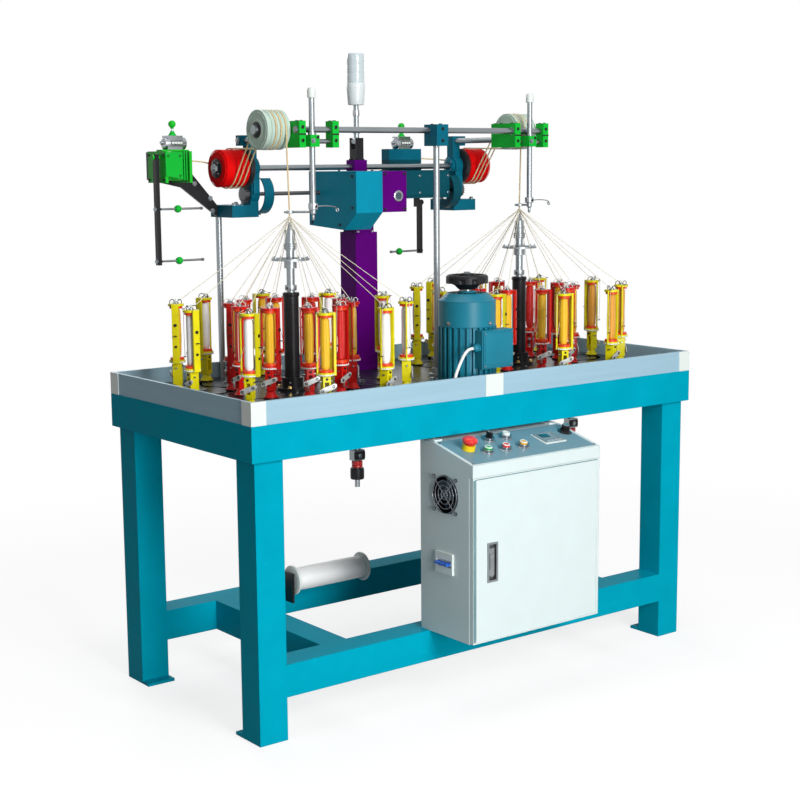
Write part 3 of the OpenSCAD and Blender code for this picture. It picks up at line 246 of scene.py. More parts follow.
finish("cabinet_grey", (0.62, 0.71, 0.71), 0.42, vary=0.025, blotch=4, grain=700, bump=0.14, edge=0.0018)
finish("bezel_chrome", (0.34, 0.36, 0.38), 0.28, 1.0, vary=0.05, grain=800, bump=0.01, spread=0.04)
finish("red_plastic", (0.72, 0.012, 0.010), 0.28, vary=0.06, blotch=50, grain=600, bump=0.04, edge=0.001,
    coat=0.3)
finish("green_plastic", (0.015, 0.38, 0.07), 0.28, vary=0.06, blotch=50, bump=0.04, coat=0.3)
finish("amber_plastic", (0.80, 0.40, 0.02), 0.28, vary=0.06, blotch=50, bump=0.04, coat=0.3)
finish("blue_plastic", (0.02, 0.12, 0.55), 0.34, vary=0.06, blotch=50, bump=0.04)
finish("sensor_red", (0.55, 0.02, 0.015), 0.35, vary=0.08, blotch=40, bump=0.05)
finish("brass", (0.70, 0.52, 0.22), 0.28, 1.0, vary=0.1, blotch=60, bump=0.04)
finish("lever_grey", (0.55, 0.57, 0.56), 0.4, 0.35, vary=0.12, blotch=60, bump=0.08)
finish("latch_grey", (0.26, 0.28, 0.28), 0.34, 0.6, vary=0.08, blotch=60, bump=0.05)
# Casting teal darkened for the arm box, which stands in shadow: painted shade
finish("arm_box_shaded_teal", (0.001, 0.066, 0.094), 0.45, vary=0.1, grain=380, bump=0.15, edge=0.002, specular=0.1)
finish("screen", (0.010, 0.05, 0.075), 0.12, vary=0.12, blotch=20, bump=0.01, coat=0.6)
finish("cable_white", (0.75, 0.77, 0.76), 0.45, vary=0.04, blotch=60, grain=600, bump=0.08)
finish("lamp_body", (0.70, 0.76, 0.77), 0.38, vary=0.03, blotch=20, bump=0.04)
finish("fan_blue", (0.035, 0.07, 0.10), 0.35, vary=0.15, blotch=60, bump=0.06)
# A dark grey-teal finish for strips put where the door gap is in shadow: painted shade
finish("door_gap_shade", (0.16, 0.27, 0.29), 0.6, vary=0.1, blotch=50, bump=0.1, specular=0.2)
# Each yarn's second colour darkens the grooves of the winding: painted shade
wound("white_yarn", (0.93, 0.94, 0.93), (0.76, 0.77, 0.77), 90, 3.1416, 0.3, 0.1)
wound("gold_yarn", (0.86, 0.50, 0.012), (0.56, 0.28, 0.004), 90, 3.1416, 0.4, 0.05)
wound("copper_yarn", (0.74, 0.34, 0.03), (0.44, 0.17, 0.01), 90, 3.1416, 0.4, 0.05)
wound("red_yarn", (0.62, 0.010, 0.008), (0.32, 0.004, 0.004), 90, 3.1416, 0.4, 0.05)
wound("spool_yarn", (0.95, 0.96, 0.96), (0.80, 0.82, 0.83), 120, 1.8850, 0.3, 0.1)


def plain_rays(nd, ln):
    """1 for a ray from the camera, a mirror or glass, and 0 for light that falls on the object."""
    path = nd.new("ShaderNodeLightPath")
    seen = path.outputs["Is Camera Ray"]
    for ray in ("Is Glossy Ray", "Is Transmission Ray"):
        seen = combine(nd, ln, "MAXIMUM", seen, path.outputs[ray])
    return seen


def floor_finish():
    """A pale floor: the shadow near the object, then a soft change into the white background."""
    nd, ln, b = new_material("floor")
    co = nd.new("ShaderNodeTexCoord").outputs["Object"]
    away = nd.new("ShaderNodeVectorMath")
    away.operation = "LENGTH"
    ln.new(co, away.inputs[0])
    far = settings(nd.new("ShaderNodeMapRange"), From_Min=1.1, From_Max=3.0)
    far.interpolation_type = "SMOOTHSTEP"
    ln.new(away.outputs["Value"], far.inputs["Value"])
    far = far.outputs["Result"]
    ln.new(ramp(nd, ln, far, [(0.0, (0.28, 0.28, 0.28)), (1.0, (0.0, 0.0, 0.0))]), b.inputs["Base Color"])
    settings(b, Roughness=1.0, Specular_IOR_Level=0.0, Emission_Color=(1, 1, 1, 1))
    glow = combine(nd, ln, "MULTIPLY", spread_over(nd, ln, far, 0.78, 1.0), plain_rays(nd, ln))
    ln.new(glow, b.inputs["Emission Strength"])


floor_finish()
finish("lamp_lens", (0.56, 0.65, 0.68), 0.2, vary=0.03, blotch=20, grain=300, bump=0.03, coat=0.5)


# Mesh building, in millimetres
class Builder:
    """Collects many small shapes with their own materials into one piece."""

    def __init__(self):
        self.verts, self.faces, self.uvs, self.mats, self.used = [], [], [], [], []

    def add(self, verts, faces, material, place=None, uvs=None):
        if material not in self.used:
            self.used.append(material)
        k, n = self.used.index(material), len(self.verts)
        place = place or Matrix()
        self.verts += [place @ Vector(v) for v in verts]
        self.faces += [[n + i for i in f] for f in faces]
        self.uvs += uvs or [[(0.0, 0.0)] * len(f) for f in faces]
        self.mats += [k] * len(faces)

    def lathe(self, profile, material, place=None, n=24):
        """A round shape from (radius, height) points, with a UV that runs round and along it."""
        verts, rows = [], []
        for r, z in profile:
            if r < 1e-6:
                rows.append([len(verts)] * n)
                verts.append((0, 0, z))
            else:
                rows.append(list(range(len(verts), len(verts) + n)))
                verts += [(r * c, r * s, z) for c, s in spokes(n)]
        faces, uvs = [], []
        for j in range(len(rows) - 1):
            for i in range(n):
                k = (i + 1) % n
                corners = [(rows[j][i], i, j), (rows[j][k], i + 1, j), (rows[j + 1][k], i + 1, j + 1),
                    (rows[j + 1][i], i, j + 1)]
                face, uv = [], []
                for v, a, c in corners:
                    if v not in face:
                        face.append(v)
                        uv.append((a / n, profile[c][1] * 0.001 * WIND_UV))
                if len(face) > 2:
                    faces.append(face)
                    uvs.append(uv)
        self.add(verts, faces, material, place, uvs)

    def ring(self, big, small, material, place=None, n=24, m=8):
        verts, faces = [], []
        for i, (c, s) in enumerate(spokes(n)):
            for j, (out, rise) in enumerate(spokes(m)):
                r = big + small * out
                verts.append((r * c, r * s, small * rise))
                faces.append([i * m + j, (i + 1) % n * m + j, (i + 1) % n * m + (j + 1) % m,
                    i * m + (j + 1) % m])
        self.add(verts, faces, material, place)

    def tube(self, points, radius, material, place=None, sides=8):
        """A tube along points; its UV runs round it and along it in metres."""
        p = [Vector(q) for q in points]
        verts, faces, uvs, run = [], [], [], [0.0]
        for a, c in zip(p, p[1:]):
            run.append(run[-1] + (c - a).length)
        side = None
        for i, q in enumerate(p):
            t = (p[min(i + 1, len(p) - 1)] - p[max(i - 1, 0)]).normalized()
            if side is None:
                side = t.cross(Vector((0.1, 0.2, 1)) if abs(t.z) < 0.9 else Vector((1, 0.1, 0))).normalized()
            side = (side - t * side.dot(t)).normalized()
            up = t.cross(side)
            r = radius[i] if isinstance(radius, (list, tuple)) else radius
            verts += [q + side * (r * c) + up * (r * s) for c, s in spokes(sides)]
        for i in range(len(p) - 1):
            for k in range(sides):
                j = (k + 1) % sides
                faces.append([i * sides + k, i * sides + j, (i + 1) * sides + j, (i + 1) * sides + k])
                uvs.append([(k / sides, run[i] / 1000), ((k + 1) / sides, run[i] / 1000), ((k + 1) / sides,
                    run[i + 1] / 1000), (k / sides, run[i + 1] / 1000)])
        e = (len(p) - 1) * sides
        for f in (list(range(sides))[::-1], [e + k for k in range(sides)]):
            faces.append(f)
            uvs.append([(0.0, 0.0)] * sides)
        self.add(verts, faces, material, place, uvs)

    def block(self, size, material, place=None, bevel=0.8, steps=2):
        """A box about its centre with rounded edges."""
        bm = bmesh.new()
        bmesh.ops.create_cube(bm, size=1.0)
        bmesh.ops.scale(bm, vec=size, verts=bm.verts)
        bmesh.ops.bevel(bm, geom=bm.edges[:], offset=min(bevel, min(size) * 0.45), segments=steps,
            profile=0.6, affect="EDGES")
        bm.verts.index_update()
        self.add([v.co[:] for v in bm.verts], [[v.index for v in f.verts] for f in bm.faces], material, place)
        bm.free()

    def plate(self, outline, t, material, place=None, bevel=0.6):
        """A flat plate from an outline, with its top edge chamfered."""
        n = len(outline)
        cx, cy = sum(p[0] for p in outline) / n, sum(p[1] for p in outline) / n
        size = max(math.hypot(x - cx, y - cy) for x, y in outline)
        k = 1 - bevel / size
        inner = [(cx + (x - cx) * k, cy + (y - cy) * k) for x, y in outline]
        verts = [(x, y, 0) for x, y in outline] + [(x, y, t - bevel) for x, y in outline]
        verts += [(x, y, t) for x, y in inner]
        faces = [list(range(n))[::-1], list(range(2 * n, 3 * n))]
        for j in (0, n):
            faces += [[j + i, j + (i + 1) % n, j + n + (i + 1) % n, j + n + i] for i in range(n)]
        self.add(verts, faces, material, place)

    def socket_screw(self, r, h, place, material="black_metal"):
        self.lathe([(0, h * 0.45), (r * 0.5, h * 0.45), (r * 0.56, h), (r * 0.86, h), (r, h * 0.86), (r, 0)],
            material, place, 14)

    def hex_bolt(self, r, h, place, material="bright_steel", washer=1.35):
        self.lathe([(r * washer, 0), (r * washer, h * 0.22), (0, h * 0.24)], material, place, 18)
        self.lathe([(r, h * 0.2), (r, h * 0.88), (r * 0.86, h), (0, h)], material, place, 6)

    def make(self, name, body, slot=None, sharp=38):
        mesh = bpy.data.meshes.new(name)
        mesh.from_pydata([v * 0.001 for v in self.verts], [], self.faces)
        for m in self.used:
            mesh.materials.append(M[m])
        mesh.polygons.foreach_set("material_index", self.mats)
        layer = mesh.uv_layers.new(name="UVMap")
        layer.data.foreach_set("uv", [c for f in self.uvs for uv in f for c in uv])
        bm = bmesh.new()
        bm.from_mesh(mesh)
        bmesh.ops.recalc_face_normals(bm, faces=bm.faces)
        bm.to_mesh(mesh)
        bm.free()
        mesh.polygons.foreach_set("use_smooth", [True] * len(mesh.polygons))
        mesh.set_sharp_from_angle(angle=math.radians(sharp))
        piece = put(name, mesh)
        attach(piece, body)
        return piece


# Camera at the photograph's angle
cam = bpy.data.cameras.new("camera")
cam.lens, cam.sensor_width, cam.clip_end = 69.23, 36.0, 100.0
camera = put("camera", cam)
eye, aim = Vector((-2.62588, -3.34701, 1.39606)), Vector((-0.043257, 0.0, 0.739292))
forward = (aim - eye).normalized()
right = forward.cross(Vector((0, 0, 1))).normalized()
up = right.cross(forward)
roll = math.radians(-0.452)
right, up = right * math.cos(roll) + up * math.sin(roll), up * math.cos(roll) - right * math.sin(roll)
camera.matrix_world = Matrix((
    (right.x, up.x, -forward.x, eye.x), (right.y, up.y, -forward.y, eye.y),
    (right.z, up.z, -forward.z, eye.z), (0, 0, 0, 1)))
scene.camera = camera

# Motor cable: leaves the gland, sags and goes into the bed
cable_route = [(-47.3, -322, 913), (-57, -322, 913), (-66, -322.5, 911), (-75, -323.5, 906),
    (-83, -324.5, 898.5), (-90, -325.5, 889.5), (-97, -326, 879.5), (-103, -326.5, 869.5),
    (-109, -327, 858.5), (-114, -327.5, 847.5), (-118, -328, 836.5), (-121, -328, 825.5), (-122, -328, 814.5),
    (-122, -328, 803.3)]


def smooth_path(points, steps=4):
    """A smooth line through the points."""
    p = [Vector(q) for q in points]
    out = []
    for i in range(len(p) - 1):
        a, b, c, d = p[max(i - 1, 0)], p[i], p[i + 1], p[min(i + 2, len(p) - 1)]
        for s in range(steps):
            t = s / steps
            out.append(0.5 * (2 * b + (c - a) * t + (2 * a - 5 * b + 4 * c - d) * t * t
                              + (3 * b - a - 3 * c + d) * t ** 3))
    return out + [p[-1]]


cable_line = smooth_path(cable_route)
cable = Builder()
cable.tube(cable_line, 4, "cable_white", sides=12)
cable_piece = cable.make("motor_lead", "frame", "white_plastic")
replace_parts(cable_piece, "motor_cable")


# Zones: one CAD node whose parts have different finishes, or painted light and shade, told apart by where
# they are
def zoned(name, base, zones, edge=0.001, grain=600.0, bump=0.08, vary=0.06, specular=0.2):
    """base and each zone's finish are (colour, roughness, metal); a zone is a box of two corners."""
    nd, ln, b = new_material(name)
    co = nd.new("ShaderNodeTexCoord").outputs["Object"]
    slow = noise(nd, ln, co, 18.0, 5.0)
    split = nd.new("ShaderNodeSeparateXYZ")
    ln.new(co, split.inputs["Vector"])

    def tone(colour):
        return ramp(nd, ln, slow, [(0.3, shade(colour, 1 - vary)), (0.7, shade(colour, 1 + vary))])

    colour, masks = tone(base[0]), []
    for (low, high), zone in zones:
        mask = None
        for axis, lo, hi in zip("XYZ", low, high):
            inside = nd.new("ShaderNodeMath")
            inside.operation = "COMPARE"
            inside.inputs[1].default_value = (lo + hi) / 2000
            inside.inputs[2].default_value = (hi - lo) / 2000
            ln.new(split.outputs[axis], inside.inputs[0])
            inside = inside.outputs["Value"]
            mask = combine(nd, ln, "MULTIPLY", mask, inside) if mask is not None else inside
        masks.append(mask)
        colour = mix_colour(nd, ln, mask, colour, tone(zone[0]))
    ln.new(colour, b.inputs["Base Color"])
    for socket, index in (("Roughness", 1), ("Metallic", 2)):
        if all(zone[index] == base[index] for _, zone in zones):
            b.inputs[socket].default_value = base[index]
            continue
        value = None
        for mask, (_, zone) in zip(masks, zones):
            mix = settings(nd.new("ShaderNodeMix"), A=base[index], B=zone[index])
            ln.new(mask, mix.inputs["Factor"])
            if value is not None:
                ln.new(value, mix.inputs["A"])
            value = mix.outputs["Result"]
        ln.new(value, b.inputs[socket])
    settings(b, Specular_IOR_Level=specular)
    relief(nd, ln, b, noise(nd, ln, co, grain, 3.0), bump, edge)


GREEN, BLACK = ((0.007, 0.46, 0.02), 0.38, 0.0), ((0.010, 0.010, 0.012), 0.36, 0.0)
CHROME = ((0.34, 0.36, 0.38), 0.24, 1.0)
GREY, PANEL = ((0.62, 0.71, 0.71), 0.42, 0.0), ((0.15, 0.28, 0.34), 0.4, 0.0)
STEEL, DARK = ((0.26, 0.285, 0.30), 0.36, 1.0), ((0.05, 0.052, 0.055), 0.4, 0.8)
LATCH, WIRE = ((0.13, 0.14, 0.14), 0.36, 0.6), ((0.17, 0.185, 0.20), 0.3, 1.0)
# Casting teal with a lighter copy (painted light on a lit side) and, on the next line, a darker copy (painted
# shade on a side in shadow)
TEAL, LIT_CASTING_TEAL = ((0.001, 0.12, 0.185), 0.45, 0.0), ((0.001, 0.25, 0.38), 0.42, 0.0)
SHADED_CASTING_TEAL, SLATE = ((0.001, 0.062, 0.088), 0.45, 0.0), ((0.20, 0.28, 0.31), 0.4, 0.0)
YELLOW = ((0.80, 0.56, 0.015), 0.35, 0.0)
zoned("counter_zones", GREEN, [
    (((-660, 307.5, 1240), (-420, 317, 1440)), BLACK),
    (((-623, 228, 1430.4), (-577, 260, 1485)), CHROME),
    (((167, 270, 1431.4), (213, 302, 1486)), CHROME),
    (((213, 238, 1255), (245, 262, 1287.9)), BLACK)])
zoned("shell_zones", GREY, [(((-200, -500, 645), (220, -354, 700)), PANEL)], edge=0.0018, vary=0.015,
    specular=0.3)
zoned("door_zones", GREY, [
    (((-163.2, -511.5, 345.8), (-128.8, -508.03, 448.2)), STEEL),
    (((-158.4, -508.2, 350.6), (-133.6, -480, 443.4)), LATCH)], edge=0.0018, vary=0.015, specular=0.3)
# Casting zones: the same teal paint, lighter on the left casting as painted light and darker on the right arm
# box as painted shade
zoned("casting_zones", TEAL, [(((-140, 60, 1200), (-42.2, 310, 1400)), LIT_CASTING_TEAL), (((42.2, 60, 1200),
    (345.9, 310, 1400)), SHADED_CASTING_TEAL)], edge=0.002, grain=380.0, bump=0.2, specular=0.1)
zoned("gear_zones", STEEL, [
    (((-389, 190, 1320), (-370, 310, 1440)), DARK), (((370, 190, 1320), (389, 310, 1440)), DARK)])
zoned("fan_zones", BLACK, [(((-220, -470, 490), (-211, -330, 630)), WIRE)], bump=0.03)
zoned("bezel_zones", CHROME, [
    (((-180, -450, 640), (-125, -390, 720)), YELLOW),
    (((85, -460, 640), (160, -390, 700)), SLATE)], bump=0.03)
zoned("sensor_zones", STEEL, [(((-240, -55, 543.9), (-190, -5, 574.1)), BLACK), (((560, -55, 543.9),
    (610, -5, 574.1)), BLACK)], bump=0.03)
zoned("arm_zones", BLACK, [
    (((-640, 237, 1268), (-510, 251, 1284)), STEEL), (((-640, 237, 1132), (-510, 251, 1148)), STEEL),
    (((115, 243, 1125), (217, 257, 1141)), STEEL)], bump=0.03)

NODE_FINISH = {"teal_paint": "base_frame", "dark_steel": "gear_plate horn_gears drive_shaft",
    "gear_zones": "drum_shaft", "black_track": "bed_plate track_islands", "rim_aluminium": "rim_rails",
    "white_plastic": "rim_corners white_button breaker_body",
    "black_metal": "column_sleeves lamp_bracket spool_bracket",
    "bright_steel": "forming_tubes motor_shaft guide_rods lamp_stand",
    "motor_teal": "motor_body terminal_box", "black_plastic": "handwheel selector speed_knob",
    "fan_blue": "fan_rotor", "fan_zones": "fan_frame", "latch_grey": "door_latch",
    "yellow_paint": "left_outer_carriers right_outer_carriers",
    "orange_plastic": "left_outer_bobbins right_outer_bobbins left_inner_bobbins right_inner_bobbins",
    "red_paint": "left_inner_carriers right_inner_carriers", "purple_paint": "takeoff_column",
    "casting_zones": "takeoff_housings", "red_rubber": "takeoff_drums", "green_paint": "rod_clamps",
    "nylon": "left_wheel right_wheel", "counter_zones": "counters", "arm_zones": "left_arm right_arm",
    "shell_zones": "cabinet_shell", "door_zones": "cabinet_door", "bezel_zones": "panel_bezels",
    "red_plastic": "stop_button red_button", "green_plastic": "green_button", "amber_plastic": "amber_button",
    "blue_plastic": "breaker_toggles", "sensor_zones": "stop_sensors"}
for material, names in NODE_FINISH.items():
    for node in names.split():
        nodes[node].data.materials.clear()
        nodes[node].data.materials.append(M[material])


# Yarn on the bobbins, and its strands to the forming points
def braid(name, first, second, round_count, pitch):
    """Two colours plaited: crossing bands choose the colour and raise the relief."""
    nd, ln, b = new_material(name)
    bands, height = crossing_bands(nd, ln, 0.62832 * round_count, 0.62832 / pitch)
    over = combine(nd, ln, "GREATER_THAN", *bands)
    ln.new(mix_colour(nd, ln, over, first, second), b.inputs["Base Color"])
    relief(nd, ln, b, height, 0.7)
    settings(b, Roughness=0.6, Sheen_Weight=0.3)


braid("rope_gold", (0.66, 0.38, 0.05), (0.78, 0.70, 0.50), 3, 0.007)
braid("rope_cream", (0.70, 0.44, 0.08), (0.82, 0.78, 0.62), 3, 0.007)
braid("strand", (0.72, 0.66, 0.48), (0.80, 0.76, 0.62), 1, 0.004)

SETS = {
    "left_outer": (-1, OUTER_R, 0.0, "W W G W G W W G W W"),
    "left_inner": (-1, INNER_R, APEX_R, "G R G R G R G G R G"),
    "right_outer": (1, OUTER_R, 0.0, "C G C G W C G G C C"),
    "right_inner": (1, INNER_R, APEX_R, "G R G W G R G G R G"),
}
YARN = {"W": "white_yarn", "G": "gold_yarn", "C": "copper_yarn", "R": "red_yarn"}


def carrier_places(side, radius):
    return [spot @ at(radius, 0, 0) for spot in around(at(side * HEAD_X, 0, TOP), GEARS)]


for body, (side, radius, drop, colours) in SETS.items():
    yarn = Builder()
    for k, (place, letter) in enumerate(zip(carrier_places(side, radius), colours.split())):
        profile = [(6.1, WOUND_Z)]
        steps = 22
        for i in range(steps + 1):
            t = i / steps
            full = 12.5 - 1.6 * abs(2 * t - 1) ** 4 - 0.35 * (1 + math.sin(9.0 * t + 1.7 * k))
            profile.append((full - (3.0 if i in (0, steps) else 0.0), WOUND_Z + 0.2 + t * (WOUND_L - 0.4)))
        profile.append((6.1, WOUND_Z + WOUND_L))
        yarn.lathe(profile, YARN[letter], place, 28)
        foot, tip = Vector((0, 0, CARRIER_H + 1)), Vector((APEX_R - radius, 0, BRAID_H - drop))
        sag = [Vector((0, 0, 1.2 * math.sin(math.pi * i / 6))) for i in range(7)]
        line = [foot + (tip - foot) * (i / 6) - sag[i] for i in range(7)]
        yarn.tube(line + [Vector((1.4 - radius, 0, BRAID_H + 6))], 0.85, "strand", place, 6)
        yarn.tube([(0, -12.2, 150), (5, -20, 118), (6.5, -24.2, 110), (7, -25, 160), (8, -23.5, 232),
            (4, -10, 238), (0, 0, CARRIER_H + 4)], 0.7, "strand", place, 5)
    piece = yarn.make(body + "_wound_yarn", body, "white_yarn" if body == "left_outer" else "gold_yarn")
    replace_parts(piece, body + "_yarn")


# Ropes: up through the eyes, then laced crosswise round the wheels and the drums
WHEEL_WRAP, DRUM_WRAP, SHIFT, TURNS = 49.8, 52.8, 4.0, 3
lace = Vector((DRUM_Y - WHEEL_Y, DRUM_Z - ROD_Z))
slope = math.degrees(math.atan2(lace.y, lace.x))
fan_out = math.degrees(math.acos((WHEEL_WRAP + DRUM_WRAP) / lace.length))
LEAVE, BACK = slope + fan_out, slope - fan_out


def arc(x, shift, axis, r, start, end):
    n = math.ceil(abs(end - start) / 7.5)
    angles = [math.radians(start + (end - start) * i / n) for i in range(n + 1)]
    return [(x + shift * i / n, axis[0] + r * math.cos(a), axis[1] + r * math.sin(a)) for i,
        a in enumerate(angles)]


def rope_path(side, ending):
    wheel, drum = (WHEEL_Y, ROD_Z), (DRUM_Y, DRUM_Z)
    x = [side * (WHEEL_IN + 12.5 + 15 * k) for k in range(TURNS)]
    path = [(side * HEAD_X, 0, EYE_Z - 10), (side * HEAD_X, 0, EYE_Z + 12), (x[0], WHEEL_Y - WHEEL_WRAP,
        ROD_Z - 40)]
    path += arc(x[0], 0, wheel, WHEEL_WRAP, 180, LEAVE)
    for k in range(TURNS - 1):
        path += arc(x[k], side * SHIFT, drum, DRUM_WRAP, LEAVE + 180, BACK + 540)
        path += arc(x[k + 1], 0, wheel, WHEEL_WRAP, BACK + 360, LEAVE)
    return path + arc(x[-1], side * SHIFT, drum, DRUM_WRAP, LEAVE + 180, 360) + ending


ropes = Builder()
ropes.tube(rope_path(-1, [(-446, 303, 1388), (-458, 303, 1394), (-478, 303, 1398), (-520, 302, 1401),
    (-559.7, 300, 1404)]), 2, "rope_gold", sides=10)
ropes.tube(rope_path(1, [(430, 304, 1388), (418, 306, 1393), (400, 307, 1396), (366, 307, 1398),
    (320, 303, 1401), (250.3, 296, 1404)]), 2, "rope_cream", sides=10)
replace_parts(ropes.make("laced_ropes", "frame", "gold_yarn"), "braid_ropes")

# Spool of core yarn under the table
spool = Builder()
axis = at(-283, 200, 222) @ TO_X
winding = [(12, 9)] + [(33 - 2.2 * abs(2 * i / 40 - 1) ** 6 - 0.3 * (1 + math.sin(i * 1.9)),
    9 + 232 * i / 40) for i in range(41)] + [(12, 241)]
spool.lathe(winding, "spool_yarn", axis, 40)
for z, sign in ((0, 1), (250, -1)):
    spool.lathe([(8.1, z), (38, z), (41, z + sign), (42, z + 3 * sign), (42, z + 6 * sign),
        (40, z + 8 * sign), (14, z + 9 * sign), (8.1, z + 9 * sign)], "white_plastic", axis, 40)
    spool.ring(33, 1.0, "white_plastic", axis @ at(0, 0, z + 0.3 * sign), 40)
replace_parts(spool.make("wound_core_spool", "spool", "white_yarn"), "core_spool")

# Small parts on the yarn carriers
RATCHET = 24


def ratchet(b, place):
    verts, faces, n = [], [], 2 * RATCHET
    for i, (c, s) in enumerate(spokes(n)):
        top = 81.4 if i % 2 else 77.8
        for r, z in ((21.7, 76.6), (21.7, top), (20.4, top), (20.4, 76.6)):
            verts.append((r * c, r * s, z))
    for i in range(n):
        for j in range(4):
            k, m = (i + 1) % n, (j + 1) % 4
            faces.append([4 * i + j, 4 * k + j, 4 * k + m, 4 * i + m])
    b.add(verts, faces, "white_plastic", place)


def coil(r, low, high, count, wire, b, place, material="bright_steel"):
    steps = count * 10
    b.tube([(r * math.cos(2 * math.pi * i / 10), r * math.sin(2 * math.pi * i / 10),
        low + (high - low) * i / steps) for i in range(steps + 1)], wire, material, place, 5)


def carrier_parts(b, place, wire):
    ratchet(b, place)
    b.lathe([(18.3, 0.6), (18.6, 1.2), (18.6, 3.0), (18.3, 3.6)], "black_metal", place, 24)
    lever = place @ at(13.9, 2, 45) @ turn("X", 20)
    outline = [(-24, -4), (-20, -6.5), (14, -6.5), (22, -3), (24, 2), (20, 6), (-12, 6.5), (-22, 4)]
    b.plate(outline, 3, "lever_grey", lever @ FACE_X, 0.7)
    for y in (-16, 14):
        b.socket_screw(3.6, 3.2, lever @ at(1.4, y, 0) @ TO_X)
    b.socket_screw(3.0, 3.0, place @ at(12, 0, 68) @ TO_X)
    b.socket_screw(3.0, 3.0, place @ at(-12, 0, 68) @ TO_LEFT)
    coil(3.4, 21, 38, 6, 0.6, b, place @ at(15.6, -8, 0))
    b.tube([(2, -16, 62), (2, 16, 62)], 2.2, "bright_steel", place, 10)
    for z, r in ((120, 3.4), (176, 4.2)):
        b.socket_screw(r, 3.2, place @ at(0, 25.4, z) @ TO_Y)
    b.ring(4.4, 1.0, "black_metal", place @ at(0, 31.4, 148), 16, 6)
    b.tube([(0, 25.2, 148), (0, 28, 148)], 1.4, "black_metal", place, 8)
    b.tube([(0, -23, 110), (5, -25, 110), (8, -26.5, 110), (9, -24, 111.5), (6.5, -22.6, 112)], 0.9,
        "black_metal", place, 6)
    b.lathe([(8.5, CARRIER_H - 0.2), (8.5, CARRIER_H + 1.6), (6, CARRIER_H + 2.2), (6, CARRIER_H + 4.4),
        (3.5, CARRIER_H + 5.6), (0, CARRIER_H + 5.8)], "bright_steel", place, 14)
    b.ring(3.6, 0.9, "white_plastic", place @ at(0, 0, CARRIER_H + 8.6) @ TO_X, 14, 6)
    for s in (1, -1):
        b.tube([(s * 15, 6, CARRIER_H - 1), (s * 15.5, 3, CARRIER_H + 7), (s * 11, 0, CARRIER_H + 11),
            (s * 5, -3, CARRIER_H + 9), (s * 6, -8, CARRIER_H + 5)], 1.1, wire, place, 6)
    b.ring(3.2, 0.9, "black_metal", place @ at(8, -24, CARRIER_H + 1), 14, 6)


for body, (side, radius, drop, colours) in SETS.items():
    parts = Builder()
    for place in carrier_places(side, radius):
        carrier_parts(parts, place, "black_metal" if "outer" in body else "white_plastic")
    parts.make(body + "_carrier_parts", body, "white_plastic")

# Column feet, forming heads and the bolts of the bed
bed = Builder()
for x in HEADS:
    base = at(x, 0, TOP)
    for spot in around(base, 4, 45):
        bed.hex_bolt(5, 6, spot @ at(35, 0, 8), "brass")
        bed.socket_screw(2.6, 2.5, spot @ at(28, 0, 22) @ TO_X, "bright_steel")
    for z in (60, 132, 204):
        bed.ring(20, 0.7, "black_metal", base @ at(0, 0, z), 32, 6)
    bed.lathe([(10.6, 247), (21.5, 247), (22, 249), (22, 255), (20, 257), (10.6, 257)], "black_metal", base,
        32)
    bed.lathe([(10.6, 262), (15, 262), (15.5, 264), (15.5, 274), (15, 276), (10.6, 276)], "bright_steel",
        base, 28)
    bed.socket_screw(2.4, 3, base @ turn("Z", 200) @ at(15.2, 0, 269) @ TO_X)
    for spot in around(base, 12):
        bed.lathe([(2.2, 0), (2.2, 3), (1.4, 5), (0, 5.5)], "bright_steel", spot @ at(45.5, 0, 345), 8)
    for z in (371, 377, 383):
        bed.ring(16.6, 0.9, "bright_steel", base @ at(0, 0, z), 28, 6)
    for spot in around(base, GEARS):
        bed.hex_bolt(6.5, 5, spot @ at(PITCH_R, 0, 0), "dark_steel")
    for spot in around(base, 8, 22.5):
        bed.socket_screw(3.4, 2.2, spot @ at(62, 0, 0), "bright_steel")
for sx in (-1, 1):
    for sy in (-1, 1):
        for dx, dy, tilt, sign in ((28, 0, TO_Y, sy), (0, 28, TO_X, sx)):
            spot = at(sx * (HALF_L - dx), sy * (HALF_W - dy), RIM_Z) @ tilt @ at(0, 0, -1.7 * sign)
            bed.socket_screw(3.2, 1.6, spot @ turn("X", 180) if sign < 0 else spot, "bright_steel")
for sy in (-1, 1):
    for x in (-20, 20):
        bed.socket_screw(3.2, 1.6, at(x, sy * (HALF_W - 1.7), RIM_Z) @ (TO_Y if sy > 0 else FRONT),
            "bright_steel")
bed.make("bed_fasteners", "frame", "bright_steel")

# Motor: cowl, cover, gland and handwheel
motor = Builder()
stand = at(0, MOTOR_Y, TOP)
for big, small, z in ((76.4, 1.3, 162), (76.2, 1.0, 228), (79.5, 2.0, 15)):
    motor.ring(big, small, "motor_teal", stand @ at(0, 0, z), 56)
for spot in around(stand, 4, 11):
    motor.hex_bolt(4.2, 4, spot @ at(75.8, 0, 171) @ TO_X)
for spot in around(stand, 4, 45):
    motor.block((30, 26, 13), "motor_teal", spot @ at(88, 0, 6.6), 4)
    motor.hex_bolt(7, 8, spot @ at(93, 0, 13))
for spot in around(stand, 18):
    motor.block((22, 4, 1.4), "black_metal", spot @ at(38, 0, 248.2), 0.5, 1)
motor.lathe([(12.6, 248), (24, 248), (25, 250), (24, 252.4), (12.6, 252.4)], "motor_teal", stand, 32)
motor.block((93, 3, 86), "motor_teal", at(20.5, -341, 908.5), 1.4)
motor.block((78, 2, 3), "motor_teal", at(20.5, -342.4, 871), 0.9)
for x in (-25.5, 66.5):
    for z in (866, 951):
        motor.socket_screw(2.6, 2.6, at(x, -341, z) @ FRONT, "bright_steel")
gland = at(-33, -322, 913) @ TO_LEFT
motor.lathe([(4.4, -0.5), (12.5, -0.5), (12.5, 4.5), (11, 5.5), (4.4, 5.5)], "motor_teal", gland, 6)
motor.lathe([(4.4, 6), (10.5, 6), (10.5, 12), (8.5, 15.5), (4.4, 17)], "motor_teal", gland, 20)
